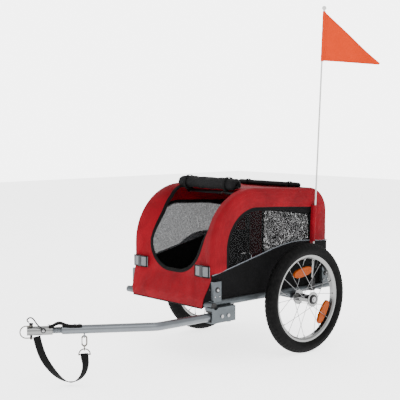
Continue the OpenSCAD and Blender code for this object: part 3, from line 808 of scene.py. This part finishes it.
def border_point(f, d, x):
    """A point of the side at share f from the front seam to the rear seam, d inside the outline."""
    low_y, high_y = SEAM[0][0] + d, SEAM[-1][0] - d
    start = S_COVER + (smooth_seam(low_y) - COVER_Z)
    end = LENGTHS[-1] - (smooth_seam(high_y) - CABIN_LOW)
    y, z, ny, nz = outline(start + (end - start) * f)
    return place(x, y - ny * d, z - nz * d)


def half_replaces(piece, node, side):
    """A cover's CAD node spans both sides, so only its left half replaces it."""
    if side == LEFT:
        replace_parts(piece, node)


def border_grid():
    """The red border, from the window's edge outward and round the cabin's upper edge."""
    grid = []
    for i in range(ROWS + 1):
        f = i / ROWS
        width = border_width(f)
        row = []
        for j in range(FLAT_STEPS + 1):
            share = j / FLAT_STEPS
            p = border_point(f, width + (EDGE_R - width) * share, CABIN_X)
            puff = 3.4 * hump(share, 0.8) + crease(p, 1.3, 34) * math.sin(math.pi * share)
            row.append(p + OUTWARD * puff * MM)
        for k in range(1, 7):
            c, s = unit_angle(math.pi / 2 * k / 6)
            row.append(border_point(f, EDGE_R - EDGE_R * s, TOP_X + EDGE_R * c))
        grid.append(row)
    return grid


def make_side(name, side):
    border = border_grid()
    red = joined(f"{name}_side_border", [sheet_shell(flip(border, side), 2.0)], "red")
    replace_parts(red, f"{name}_side_cover")
    steps = 96
    inner = [border_point(i / steps, border_width(i / steps), CABIN_X) for i in range(steps + 1)]
    line = mirrored([p + OUTWARD * 0.6 * MM for p in inner], side)
    shell = sweep_shell(line, band_section(5, 1.6), OUTWARD * side)
    tape = joined(f"{name}_window_binding", [shell], "binding")
    window_rows, band_rows = [], []
    for i in range(steps + 1):
        f = i / steps
        width = border_width(f)
        band = 12 + 14 * min(max((f - 0.6) / 0.14, 0), 1)
        edge = border_point(f, width - 2, CABIN_X - 1.4)
        inside = border_point(f, width + band, CABIN_X - 1.4)
        band_rows.append([edge.lerp(inside, k / 4) for k in range(5)])
        y_low = SEAM[0][0] + 68 + (SEAM[-1][0] - 77 - SEAM[0][0] - 68) * f
        bottom = place(CABIN_X - 2.2, y_low, smooth_seam(y_low) - 3)
        top = border_point(f, width + band - 4, CABIN_X - 2.2)
        column = []
        for k in range(25):
            p = top.lerp(bottom, k / 24)
            slack = math.sin(math.pi * k / 24) * math.sin(math.pi * f)
            column.append(p - OUTWARD * (4 + crease(p, 1.6, 60)) * slack * MM)
        window_rows.append(column)
    band_piece = joined(f"{name}_window_band", [sheet_shell(flip(band_rows, side), 1.4)], "black")
    # The right window takes the lighter grey mesh: painted light shining through it from behind
    window = joined(f"{name}_window", [sheet_shell(flip(window_rows, side), 0.5)],
                    "side_mesh" if side == LEFT else "mesh")
    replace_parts(window, f"{name}_window_mesh")

    ys = [SEAM[0][0] + 1 + (SEAM[-1][0] - SEAM[0][0] - 1) * i / 90 for i in range(91)]
    line = [place((CABIN_X + 1.6) * side, y, smooth_seam(y)) for y in ys]
    pipe = joined(f"{name}_seam_piping", [sweep_shell(line, round_section(1.9), UP)], "piping")

    rows = []
    for inset, lift, grows in ((border_width(0) - 5, 0.9, 1), (EDGE_R + 2, 1.5, 0)):
        widths = [inset + (border_width(i / steps) - border_width(0)) * grows for i in range(steps + 1)]
        row = [(border_point(i / steps, d, CABIN_X + lift), OUTWARD) for i, d in enumerate(widths)]
        rows.append(flip_line(row, side))
    seam_row = [(place(CABIN_X + 1.1, y, smooth_seam(y) - 6), OUTWARD) for y in ys[3:-2]]
    thread = stitches(f"{name}_side_stitches", rows, "red_thread")
    seam_thread = stitches(f"{name}_seam_stitches", [flip_line(seam_row, side)], "grey_thread")
    ride_side(side, red, tape, band_piece, window, pipe, thread, seam_thread)

    make_lower_panel(name, side)


BRACKET_HALF = 18
BRACKET_YS = (-386, 169)
BRACKET_OUT = 222


def make_lower_panel(name, side):
    """The black panel below the seam: it runs down to the rail between the brackets."""
    inner_ys = (BRACKET_YS[0] + BRACKET_HALF + 2, BRACKET_YS[1] - BRACKET_HALF - 2)
    spans = [
        (SEAM[0][0] + 2, inner_ys[0], 299, 4),
        (*inner_ys, PANEL_LOW, 84),
        (inner_ys[1], SEAM[-1][0], 299, 4),
    ]
    parts = []
    for y0, y1, low, count in spans:

        def hanging(i, k):
            y = y0 + (y1 - y0) * i / count
            top = smooth_seam(y)
            p = place(CABIN_X - 1, y, top + (low - top) * k / 18)
            share = math.sin(math.pi * k / 18) * math.sin(math.pi * i / count)
            return p + OUTWARD * (crease(p, 3.2, 58, (1, 1, 0.55)) + 1.5) * share * MM

        grid = lattice(count, 18, hanging)
        parts.append(sheet_shell(flip(grid, side), 1.6))
    panel = joined(f"{name}_panel", parts, "black")
    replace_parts(panel, f"{name}_lower_panel")
    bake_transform(panel)
    half_replaces(panel, "side_skirts", side)
    line = [place((CABIN_X - 0.4) * side, inner_ys[0] + (inner_ys[1] - inner_ys[0]) * i / 60, PANEL_LOW + 4)
            for i in range(61)]
    hem = joined(f"{name}_panel_hem", [sweep_shell(line, band_section(8, 2.6), OUTWARD * side)], "binding")
    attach(hem, "root")


for side_name, side_sign in SIDES.items():
    make_side(side_name, side_sign)


# ---- front cover with its opening ----

HEM_STEPS = 23
OPENING_X, OPENING_Z, OPENING_R = 22, 427, 115


def opening_edge():
    """The left half of the opening in (x, z), from the middle of its bottom to the roof."""
    edge = [(OPENING_X * k / 3, OPENING_Z - OPENING_R) for k in range(3)]
    for k in range(25):
        c, s = unit_angle(math.radians(-90 + 90 * k / 24))
        edge.append((OPENING_X + OPENING_R * c, OPENING_Z + OPENING_R * s))
    x, z = OPENING_X + OPENING_R, OPENING_Z + 100
    edge += [(x + 2 * math.sin(math.pi * k / 8), OPENING_Z + 100 * k / 8) for k in range(1, 9)]
    edge += [(x + 20 * (k / 8) ** 1.6, z + 72 * k / 8) for k in range(1, 9)]
    return edge


def set_back(z):
    """How far the opening's edge lies behind the cabin's outline, at a height."""
    reach = 95 if z < 508 else 88
    return (11 + 27 * math.exp(-(((z - 508) / reach) ** 2))) * min(1, max(0.25, (612 - z) / 30))


def front_boundaries():
    """Matching points (x, s) along the opening and along the cover's outer edge, for the left half."""
    inner = []
    for x, z in opening_edge():
        straight = z <= FRONT_C[1]
        s = S_COVER + (z - COVER_Z) if straight else distance_at(lambda y, zz, ny, nz: zz >= z)
        inner.append(Vector((x, s, 0)))
    inner.append(Vector((158, S_ROOF_FRONT, 0)))
    outer_side = [Vector((FRONT_HALF, 0, 0)), Vector((CABIN_X - 4, S_COVER + 4, 0)),
                  Vector((TOP_X, S_COVER + 34, 0)), Vector((TOP_X, S_ROOF_FRONT, 0))]
    bottom = resampled([Vector((0, 0, 0)), outer_side[0]], HEM_STEPS - 1)
    outer = bottom + resampled(outer_side, 50)[1:]
    return resampled(inner, len(outer) - 1), outer


def front_point(x, s, share, z_edge, extra=0.0):
    """The cover's surface: share is 0 at the opening's edge and 1 at the outer edge."""
    y, z, ny, nz = outline(s)
    back = set_back(z_edge) * (1 - share) ** 1.7
    lift = extra - back
    return place(x, y + ny * lift, z + nz * lift)


def front_grid(columns=16):
    inner, outer = front_boundaries()
    grid = []
    for a, b in zip(inner, outer):
        z_edge = outline(a.y)[1]
        row = []
        for k in range(columns + 1):
            share = k / columns
            q = a.lerp(b, share)
            p = front_point(q.x, q.y, share, z_edge)
            slack = hump(min(1, share * 1.05))
            pull = (crease(p, 3.4, 55, (1.0, 0.4, 0.45)) + crease(p, 1.0, 17)) * min(1, q.x / 45)
            row.append(front_point(q.x, q.y, share, z_edge, pull * slack + 1.2 * slack))
        grid.append(row)
    return grid


def half_lines(grid, column, lift):
    """The points of a grid's column with directions that face out."""
    normals = grid_normals(grid)
    return [(row[column] + normals[i][column] * lift * MM, normals[i][column]) for i, row in enumerate(grid)]


def make_front(name, side):
    grid = front_grid()
    cover = joined(f"{name}_front_panel", [sheet_shell(flip(grid, side), 2.0)], "red")
    half_replaces(cover, "front_cover", side)
    facing = [n for _, n in flip_line(half_lines(grid, 0, 0), side)]
    line = mirrored([row[0] for row in grid], side)
    binding = joined(f"{name}_opening_binding", [sweep_shell(line, band_section(13, 4), facing)], "binding")
    line = mirrored([row[-1] + UP * 2 * MM for row in grid[:HEM_STEPS]], side)
    hem = joined(f"{name}_front_hem", [sweep_shell(line, band_section(5, 2.8), FORWARD)], "binding")
    rows = [half_lines(grid, 1, 1.3), half_lines(grid, 15, 1.3)[HEM_STEPS:]]
    thread = stitches(f"{name}_front_stitches", [flip_line(row, side) for row in rows], "red_thread")
    fold_side(side, cover, binding, hem, thread)

    # The black gusset closes the corner between the slanted front edge and the bracket
    def gusset(k, j):
        f = k / 12
        y, z, _, _ = outline((S_COVER + 16) * f)
        x = FRONT_HALF + (CABIN_X - 4 - FRONT_HALF) * min(1, f * 1.1)
        back = place(max(x + 1, 207 + 4 * f), -398 - 12 * (1 - f), max(z + 4, 219))
        front = place(x - 1, y + 2.2, z + 1)
        return front.lerp(back, j / 5) + FORWARD * 1.5 * math.sin(math.pi * j / 5) * MM

    shell = sheet_shell(flip(lattice(12, 5, gusset), side), 1.6)
    fold_side(side, joined(f"{name}_front_gusset", [shell], "black"))


for side_name, side_sign in SIDES.items():
    make_front(side_name, side_sign)


# ---- roof and rear ----

ROOF_SAG = 7


def make_roof(name, side):
    def sagging(i, j):
        y, z, ny, nz = outline(S_ROOF_FRONT + (S_ROOF_REAR - S_ROOF_FRONT) * i / 40)
        x = TOP_X * j / 24
        inside = math.cos(math.pi / 2 * x / TOP_X)
        sag = ROOF_SAG * inside + crease(place(x, y, z), 1.8, 70) * inside * min(1, x / 45)
        return place(x, y - ny * sag, z - nz * sag)

    grid = lattice(40, 24, sagging)
    roof = joined(f"{name}_roof_panel", [sheet_shell(flip(grid, side), 2.0)], "red")
    half_replaces(roof, "roof_cover", side)
    thread = stitches(f"{name}_roof_stitches", [flip_line(half_lines(grid, 23, 1.3), side)], "red_thread")
    fold_side(side, roof, thread)


REAR_WINDOW_X = 125
REAR_WINDOW_Z = (304, 487)
REAR_WINDOW_R = 26


def rear_boundaries():
    """Matching points (x, s) around the rear window and around the rear cover, for the left half."""
    end = LENGTHS[-1]
    low, top = (end - (z - CABIN_LOW) for z in REAR_WINDOW_Z)
    x, r = REAR_WINDOW_X, REAR_WINDOW_R
    quarter = [math.pi / 2 * k / 6 for k in range(7)]
    inner = [(0, top), (x - r, top)]
    inner += [(x - r + r * math.sin(a), top + r - r * math.cos(a)) for a in quarter[1:]]
    inner += [(x - r + r * math.cos(a), low - r + r * math.sin(a)) for a in quarter]
    inner += [(0, low)]
    narrow = end - (299 - CABIN_LOW)
    seam = end - (SEAM[-1][1] - CABIN_LOW)
    side = [(TOP_X, S_ROOF_REAR), (TOP_X, seam - 6), (CABIN_X - 0.5, seam), (CABIN_X - 0.5, narrow),
            (186, narrow + 3), (186, end)]
    inner, side = ([Vector((*q, 0)) for q in line] for line in (inner, side))
    outer = resampled([Vector((0, S_ROOF_REAR, 0)), side[0]], 16)
    outer += resampled(side, 40)[1:]
    outer += resampled([side[-1], Vector((0, end, 0))], 16)[1:]
    return resampled(inner, len(outer) - 1), outer


def make_rear(name, side):
    inner, outer = rear_boundaries()

    def stretched(i, k):
        share = 1 - k / 12
        q = inner[i].lerp(outer[i], share)
        y, z, ny, nz = outline(q.y)
        lift = math.sin(math.pi * share) * (crease(place(q.x, y, z), 2.2, 60) * min(1, q.x / 45) - 1.0)
        return place(q.x, y + ny * lift, z + nz * lift)

    grid = lattice(len(inner) - 1, 12, stretched)
    cover = joined(f"{name}_rear_panel", [sheet_shell(flip(grid, side), 2.0)], "red")
    half_replaces(cover, "rear_cover", side)
    line = mirrored([row[-1] for row in grid], side)
    binding = joined(f"{name}_rear_binding", [sweep_shell(line, band_section(11, 3.0), BACKWARD)], "binding")
    low, high = REAR_WINDOW_Z

    def slack_window(i, k):
        slack = math.sin(math.pi * k / 20) * math.cos(math.pi / 2 * i / 24)
        return place((REAR_WINDOW_X + 2) * i / 24, 183.5 - 5 * slack, high + 2 - (high - low + 4) * k / 20)

    shell = sheet_shell(flip(lattice(24, 20, slack_window), side), 0.5)
    window = joined(f"{name}_rear_window", [shell], "coarse_mesh")
    row = [(p + BACKWARD * 1.6 * MM, BACKWARD) for p in line]
    thread = stitches(f"{name}_rear_stitches", [row], "red_thread")
    fold_side(side, cover, binding, window, thread)


for side_name, side_sign in SIDES.items():
    make_roof(side_name, side_sign)
    make_rear(side_name, side_sign)


# ---- rolled-up covers on the roof ----


def on_roof(point):
    """A point of a roll, lifted out of the roof where it lies on it. It may droop over the opening."""
    y, z = (point.y - AXLE_Y) / MM, point.z / MM
    if y < ROOF_FRONT - 4:
        return point
    if y < FRONT_C[0]:
        roof = FRONT_C[1] + math.sqrt(FRONT_R ** 2 - (y - FRONT_C[0]) ** 2)
    else:
        slope = (outline(S_ROOF_REAR)[1] - outline(S_ROOF_FRONT)[1]) / (ROOF_REAR - ROOF_FRONT)
        roof = outline(S_ROOF_REAR)[1] + slope * (y - ROOF_REAR)
    return Vector((point.x, point.y, max(z, roof + 0.8) * MM))


def roll_shell(y, z, radius, half, layer, turns, squash_z, lump):
    """Half of a sheet rolled up on itself: a spiral section along X, with creases round and along it."""
    count = int(26 * turns)
    steps = max(24, int(half / 4.5))

    def rolled(i, k):
        f = k / count
        c, s = unit_angle(-0.9 + 2 * math.pi * turns * f)
        r = radius - layer / 2 - (radius - layer) * 0.82 * f
        x = half * i / steps
        swell = crease(place(x, y + r * c, z + r * s), lump, 24, (0.55, 1, 1)) * min(1, r / radius)
        r = max(1.0, (r + swell) * min(1.0, (half - x) / 12 + 0.55))
        return on_roof(place(x, y + r * c, z + r * s * squash_z))

    return lattice(steps, count, rolled)


def make_roll(name, side, label, y, z, radius, half, layer, turns, squash_z, lump):
    grid = [mirrored(row, side) for row in roll_shell(y, z, radius, half, layer, turns, squash_z, lump)]
    roll = joined(f"{name}_{label}_roll", [sheet_shell(grid, layer * 0.72)], "roll")
    half_replaces(roll, f"{label}_roll", side)
    fold_side(side, roll)


def keeper_strap(name, side, x, y, z, ry, rz, width):
    """A keeper strap round a roll."""
    turn = [unit_angle(2 * math.pi * k / 36) for k in range(36)]
    path = [on_roof(place(x * side, y + ry * c, z + rz * s)) for c, s in turn]
    out = [(p - place(x * side, y, z)).normalized() for p in path]
    fold_side(side, joined(name, [sweep_shell(path, band_section(width, 1.5), out, closed=True)], "webbing"))


for side_name, side_sign in SIDES.items():
    make_roll(side_name, side_sign, "front", -225, 613, 26, 149, 3.8, 3.4, 0.98, 3.4)
    make_roll(side_name, side_sign, "rear", 88, 600, 12.5, 161, 2.6, 2.6, 0.85, 1.4)
    keeper_strap(f"{side_name}_front_roll_strap", side_sign, 105, -225, 613, 27.4, 27, 12)
    keeper_strap(f"{side_name}_rear_roll_strap", side_sign, 110, 88, 600, 14, 12.2, 10)


# ---- reflective tabs on the front ----

TAB_BULGE = 7.0


def make_tab(name, side):
    """A folded strip of tape that is sewn at both ends and stands out in a shallow loop."""
    x0, x1 = (128, 202) if side == LEFT else (134, 208)
    z0, z1 = 308, 348

    def looped(i, k):
        f = k / 30
        z = z0 + (z1 - z0) * i / 14 + 1.5 * math.sin(math.pi * f) - 0.7
        return place(x0 + (x1 - x0) * f, -403 - TAB_BULGE * hump(f, 0.45), z)

    grid = lattice(14, 30, looped)
    tab = joined(f"{name}_reflective_tab", [sheet_shell(flip(grid, side), 1.6)], "tape")
    half_replaces(tab, "reflective_tabs", side)
    middle = [place((x0 + x1) / 2 * side, -411.6, z0 + 1 + (z1 - z0 - 2) * k / 10) for k in range(11)]
    stripe = joined(f"{name}_tab_stripe", [sweep_shell(middle, band_section(15, 1.0), FORWARD)],
                    "grey_thread")

    def across(count, y, z):
        return [place((x0 + (x1 - x0) * k / count) * side, y - TAB_BULGE * hump(k / count, 0.45), z)
                for k in range(count + 1)]

    edges = [sweep_shell(across(24, -404, z), band_section(4, 1.0), FORWARD) for z in (z0 + 1.5, z1 - 1.5)]
    for x in (x0 + 2.5, x1 - 2.5):
        line = [place(x * side, -407.6, z0 + (z1 - z0) * k / 6) for k in range(7)]
        edges.append(sweep_shell(line, band_section(5, 1.0), FORWARD))
    border = joined(f"{name}_tab_border", edges, "binding")
    rows = [[(p, FORWARD) for p in across(20, -404.6, z)] for z in (z0 + 2, z1 - 2)]
    thread = stitches(f"{name}_tab_stitches", rows, "grey_thread", 4)
    fold_side(side, border, tab, stripe, thread)


for side_name, side_sign in SIDES.items():
    make_tab(side_name, side_sign)


# ---- floor board ----


def make_floor():
    low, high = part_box("floor_panel")

    def dented(i, j):
        u, v = i / 36, j / 44
        p = Vector((low.x + (high.x - low.x) * u, low.y + (high.y - low.y) * v, (low.z + high.z) / 2))
        return p + UP * crease(p, 0.5, 45) * (hump(u) * hump(v)) ** 0.3 * MM

    grid = [list(reversed(row)) for row in lattice(36, 44, dented)]
    board = joined("floor_board", [sheet_shell(grid, 3.0)], "black")
    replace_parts(board, "floor_panel")
    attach(board, "root")


make_floor()


# ---- wheels ----

TYRE_R = 23.5
TYRE_WALL = 4
LENS_W, LENS_H = 94, 33
RING_R = WHEEL_R - TYRE_R
AROUND = 288


def wheel_point(side, x, radius, angle):
    """A point of a wheel from its place along the axle, its radius and its angle."""
    return place(x * side, radius * math.cos(angle), WHEEL_R + radius * math.sin(angle))


def tread(i, phi):
    """Depth of the tread's grooves at a step round the tyre and an angle across it, in millimetres."""
    a = abs(math.degrees(phi))
    if a > 62:
        return 0.0 if not 98 < a < 103 else -0.5
    rim_groove = 10 < a < 15 or 33 < a < 38
    block = (i + (2 if phi > 0 else 0)) % 4 == 0 and 15 <= a <= 62
    centre = i % 6 == 0 and a <= 10
    return 1.7 if rim_groove or block or centre else 0.0


def make_tyre(name, side):
    outside = [math.radians(-142 + 284 * j / 54) for j in range(55)]
    inside = [math.radians(142 - 284 * j / 14) for j in range(15)]
    points = []
    for i in range(AROUND):
        angle = 2 * math.pi * i / AROUND
        section = [(phi, TYRE_R - tread(i, phi)) for phi in outside]
        section += [(phi, TYRE_R - TYRE_WALL) for phi in inside]
        points += [wheel_point(side, TRACK + r * math.sin(phi), RING_R + r * math.cos(phi), angle)
                   for phi, r in section]
    faces = tube_faces(AROUND, len(outside) + len(inside), closed=True)
    if side == RIGHT:
        faces = [(a, d, c, b) for a, b, c, d in faces]
    tyre = mesh_piece(f"{name}_tread_tyre", points, faces, "tyre")
    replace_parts(tyre, f"{name}_tyre")
    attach(tyre, f"{name}_wheel")


def ring_shell(side, profile, steps=48):
    """A closed ring turned about the axle from a profile of (x, radius)."""
    points = [wheel_point(side, x, r, 2 * math.pi * i / steps) for i in range(steps) for x, r in profile]
    return points, tube_faces(steps, len(profile), closed=True)


def lens_outline(width, height, steps=40):
    """A long rounded outline between an oval and a rectangle, centred on the origin."""
    line = []
    for k in range(steps):
        c, s = unit_angle(2 * math.pi * k / steps)
        u, v = (math.copysign(abs(share) ** 0.8, share) for share in (c, s))
        line.append((u * width / 2, v * height / 2))
    return line


def make_reflector(name, side, label, degrees, radius):
    """A long rounded lens with bevelled edges, clipped across the spokes."""
    c, s = unit_angle(math.radians(degrees))
    layers = [(-5, 0.90), (-4.4, 0.97), (-3, 1.0), (3, 1.0), (4.4, 0.97), (5, 0.90)]
    line = lens_outline(LENS_W, LENS_H)
    points = []
    for x, share in layers:
        for u, v in line:
            tangent, r = u * (1 - 14 * (1 - share) / 43), radius + v * share
            points.append(place((TRACK + x) * side, r * c - tangent * s, WHEEL_R + r * s + tangent * c))
    lens = mesh_piece(f"{name}_{label}_lens", points, tube_faces(len(layers), len(line)), "lens", False)
    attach(lens, f"{name}_wheel")
    return lens


def turned_rod(path, radii, facing, sides):
    """A rod along a path with a radius in millimetres at each of its points."""
    points, faces = sweep_shell(path, round_section(1, sides), facing)
    for k, radius in enumerate(radii):
        for m in range(k * sides, (k + 1) * sides):
            points[m] = path[k] + (points[m] - path[k]) * radius
    return points, faces


def make_wheel_details(name, side):
    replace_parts(make_reflector(name, side, "upper", 99, 97), f"{name}_reflectors")
    make_reflector(name, side, "lower", -33, 117)
    nipples = []
    for i in range(20):
        x = TRACK + (3 if i % 2 == 0 else -3)
        path = [wheel_point(side, x, r, 2 * math.pi * i / 20) for r in (137, 139, 145.5)]
        nipples.append(turned_rod(path, (1.5, 2.1, 2.1), OUTWARD * side, 8))
    path = [wheel_point(side, TRACK, r, math.radians(63)) for r in (118, 121, 128, 129, 146)]
    stem = turned_rod(path, (2.6, 3.4, 3.4, 2.6, 2.8), OUTWARD * side, 12)
    cap = ring_shell(side, [(TRACK + x, r) for x, r in
                            ((40.2, 10.6), (40.2, 16.5), (41.2, 17), (42.4, 15.8), (42.6, 10.6))])
    for label, parts, key in (("spoke_nipples", nipples, "bright"), ("valve", [stem], "plastic"),
                              ("hub_cap", [cap], "plastic")):
        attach(joined(f"{name}_{label}", parts, key), f"{name}_wheel")


for side_name, side_sign in SIDES.items():
    make_tyre(side_name, side_sign)
    make_wheel_details(side_name, side_sign)


# ---- flag ----

ROD_X, ROD_Y, ROD_Z = 226.5, 88, 237
ROD_LEAN = math.radians(3.05)
ROD_UP = Vector((0, math.sin(ROD_LEAN), math.cos(ROD_LEAN)))
PENNANT_AT, PENNANT_H, PENNANT_L = 822, 182, 248
PENNANT_TURN = math.radians(20.5)


def on_rod(distance):
    return place(ROD_X, ROD_Y, ROD_Z) + ROD_UP * (distance * MM)


def make_pennant():
    away = Vector((math.sin(PENNANT_TURN), math.cos(PENNANT_TURN) * math.cos(ROD_LEAN),
                   -math.cos(PENNANT_TURN) * math.sin(ROD_LEAN)))
    normal = away.cross(ROD_UP).normalized()

    def waving(i, k):
        f, v = i / 48, k / 18
        low, high = 2 + 3 * f, PENNANT_H - 2 - (PENNANT_H - 12) * f
        wave = (5 * f * math.sin(5.2 * f + 1.6 * v) + 1.2 * math.sin(9 * f + 4 * v)) * min(1, 4 * f)
        return (on_rod(PENNANT_AT + low + (high - low) * v) + away * ((4.4 + (PENNANT_L - 6) * f) * MM)
                + normal * wave * MM)

    def round_rod(i, k):
        c, s = unit_angle(-2 * math.pi * k / 16)
        radius = 4.4 + 0.25 * math.sin(40 * i / 32 + 2 * c)
        stretch = 1.5 if c > 0 else 1.0
        return (on_rod(PENNANT_AT + PENNANT_H * i / 32) + away * (radius * c * stretch * MM)
                + normal * (radius * s * MM))

    grid = lattice(48, 18, waving)
    cloth = joined("pennant_cloth", [sheet_shell(grid, 0.8)], "pennant")
    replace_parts(cloth, "pennant")
    hem = joined("pennant_sleeve", [sheet_shell(lattice(32, 16, round_rod), 0.8)], "pennant")
    rows = [[row[k] for row in grid[2:-2]] for k in (1, 17)] + [grid[2]]
    lines = [[(p + normal * sign * 0.7 * MM, normal * sign) for p in row] for row in rows for sign in (-1, 1)]
    thread = stitches("pennant_stitches", lines, "grey_thread", 4, 2.4, 0.3)
    for piece in (cloth, hem, thread):
        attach(piece, "pennant")


def make_pocket():
    """A flat red sleeve sewn to the side border, with a pointed tip over the black panel."""
    low, high = 158, 292
    x_wall = CABIN_X + 2.6

    def arched(i, k):
        centre = on_rod(low + (high - low) * i / 30)
        angle = math.pi / 2 - math.pi * (k / 24)
        across = BACKWARD * 8.5 * math.sin(angle) * MM
        wrinkle = crease(centre + across, 0.8, 14) * math.cos(angle)
        x = x_wall + (ROD_X - x_wall + 3) * hump(k / 24, 0.7) + wrinkle
        return Vector((x * MM, centre.y, centre.z)) + across

    def pointed(i, k):
        f = i / 8
        centre = on_rod(low - 18 * f)
        half = 9.5 * (1 - f) ** 0.7 + 1.5
        return Vector(((x_wall + 1.2) * MM, centre.y + half * (k / 4 - 1) * MM, centre.z))

    sleeve = joined("flag_sleeve", [sheet_shell(lattice(30, 24, arched), 1.4)], "red")
    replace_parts(sleeve, "flag_pocket")
    point = joined("flag_sleeve_tip", [sheet_shell(lattice(8, 8, pointed), 1.8)], "red")
    edges = [[(Vector(((x_wall + 2.2) * MM, on_rod(d).y + y * MM, on_rod(d).z)), OUTWARD)
              for d in range(low, high, 6)] for y in (-7.2, 7.2)]
    thread = stitches("flag_sleeve_stitches", edges, "red_thread")
    ride_side(LEFT, sleeve, point, thread)


make_pennant()
make_pocket()


# ---- small hardware ----


def disc_shell(centre, axis, profile, steps=24):
    """A turned solid: the profile is (distance along the axis, radius), in millimetres."""
    side = axis.orthogonal().normalized()
    other = axis.cross(side)
    turn = [unit_angle(2 * math.pi * k / steps) for k in range(steps)]
    points = [centre + axis * (along * MM) + side * (r * c * MM) + other * (r * s * MM)
              for along, r in profile for c, s in turn]
    return points, tube_faces(len(profile), steps)


def make_hardware():
    eyelet = disc_shell(on_arm(363, 14.4, 184), ARM_SIDE,
                        [(0, 8.2), (1.8, 8.5), (3.0, 7.8), (3.8, 5.6), (4.0, 0.4)])
    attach(joined("lanyard_eyelet", [eyelet], "plastic"), "hitch")
    head = disc_shell(on_arm(363, 18.2, 184), ARM_SIDE, [(0, 4.4), (1.2, 4.4), (2.2, 3.0), (2.4, 0.3)])
    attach(joined("lanyard_screw", [head], "bright"), "hitch")
    rivets = [(250, 197.3, "tow_arm"), (264, 197.3, "tow_arm"), (346, 198.0, "hitch")]
    for k, (t, top, body) in enumerate(rivets):
        head = disc_shell(on_arm(t, 0, top), UP, [(0, 4), (0.8, 4), (1.8, 2.6), (2.1, 0.3)])
        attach(joined(f"tether_rivet_{k + 1}", [head], "bright"), body)
    for name, side in SIDES.items():
        outward = OUTWARD * side
        heads, washers = [], []
        for y in BRACKET_YS:
            heads += [disc_shell(place(BRACKET_OUT * side, y + dy, 245), outward,
                                 [(0, 3.6), (1.0, 3.6), (2.0, 2.6), (2.3, 0.3)]) for dy in (-10, 10)]
        for y in BRACKET_YS:
            spot = place(BRACKET_OUT * side, y, HINGE_Z)
            washers.append(disc_shell(spot, outward, [(0, 9.5), (1.4, 9.5), (2.0, 8.4), (2.1, 0.4)]))
            heads.append(disc_shell(spot, outward, [(1.9, 6), (4.2, 6), (5.4, 4.6), (5.6, 0.4)]))
        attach(joined(f"{name}_bracket_washers", washers, "plastic"), "root")
        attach(joined(f"{name}_bracket_rivets", heads, "bright"), "root")


make_hardware()


# ---- leash clip inside the window ----


def make_leash_clip():
    top = place(204, -262, 352)
    path = [top + Vector((-1 * k, 0, 26 - 5.2 * k)) * MM for k in range(6)]
    strap = joined("leash_strap", [sweep_shell(path, band_section(14, 1.8), OUTWARD)], "webbing")
    turn = [unit_angle(2 * math.pi * k / 28) for k in range(28)]
    loop = [top + Vector((-5, 9 * c, -8 + 11 * s)) * MM for c, s in turn]
    ring = joined("leash_ring", [sweep_shell(loop, round_section(1.9, 8), OUTWARD, closed=True)], "bright")
    ride_side(LEFT, strap, ring)


make_leash_clip()


# ---- floor and lights ----

STUDIO_HALF = 9.0
FLOOR_GLOW = 2.4
WORLD_LIGHT = 1.7
WORLD_SEEN = 5.6
WHITE = (1, 1, 1, 1)
AIM = Vector((0, 0, 0.35))
LIGHTS = [
    ("key", (2.6, -1.6, 3.2), 2.4, 62),
    ("fill", (-2.4, -3.2, 2.2), 2.6, 30),
    ("rim", (-1.6, 3.0, 2.8), 2.0, 30),
]


def make_studio():
    mesh = bpy.data.meshes.new("studio_floor")
    corners = [(-1, -1), (1, -1), (1, 1), (-1, 1)]
    mesh.from_pydata([(x * STUDIO_HALF, y * STUDIO_HALF, 0) for x, y in corners], [], [(0, 1, 2, 3)])
    floor = bpy.data.objects.new("studio_floor", mesh)
    bpy.context.collection.objects.link(floor)
    floor.location.z = CAD_BOX[0].z - 0.0005
    n = Nodes("studio_paper", (0.93, 0.93, 0.93), 0.9, specular_ior_level=0.05)
    n.shader.inputs["Emission Color"].default_value = WHITE
    n.shader.inputs["Emission Strength"].default_value = FLOOR_GLOW
    n.color(n.ramp(n.noise(3, 2), [(0.3, (0.92, 0.92, 0.92)), (0.7, (0.94, 0.94, 0.94))]))
    mesh.materials.append(n.material)

    world = bpy.context.scene.world or bpy.data.worlds.new("studio")
    bpy.context.scene.world = world
    world.use_nodes = True
    nodes = world.node_tree.nodes
    background = nodes["Background"]
    seen = nodes.new("ShaderNodeBackground")
    for node, strength in ((background, WORLD_LIGHT), (seen, WORLD_SEEN)):
        node.inputs["Color"].default_value = WHITE
        node.inputs["Strength"].default_value = strength
    mix = nodes.new("ShaderNodeMixShader")
    path = nodes.new("ShaderNodeLightPath")
    links = world.node_tree.links
    links.new(path.outputs["Is Camera Ray"], mix.inputs[0])
    links.new(background.outputs[0], mix.inputs[1])
    links.new(seen.outputs[0], mix.inputs[2])
    links.new(mix.outputs[0], nodes["World Output"].inputs["Surface"])

    for name, spot, size, power in LIGHTS:
        data = bpy.data.lights.new(name, "AREA")
        data.size = size
        data.energy = power
        light = bpy.data.objects.new(name, data)
        bpy.context.collection.objects.link(light)
        light.location = spot
        light.rotation_euler = (AIM - Vector(spot)).to_track_quat("-Z", "Y").to_euler()


make_studio()
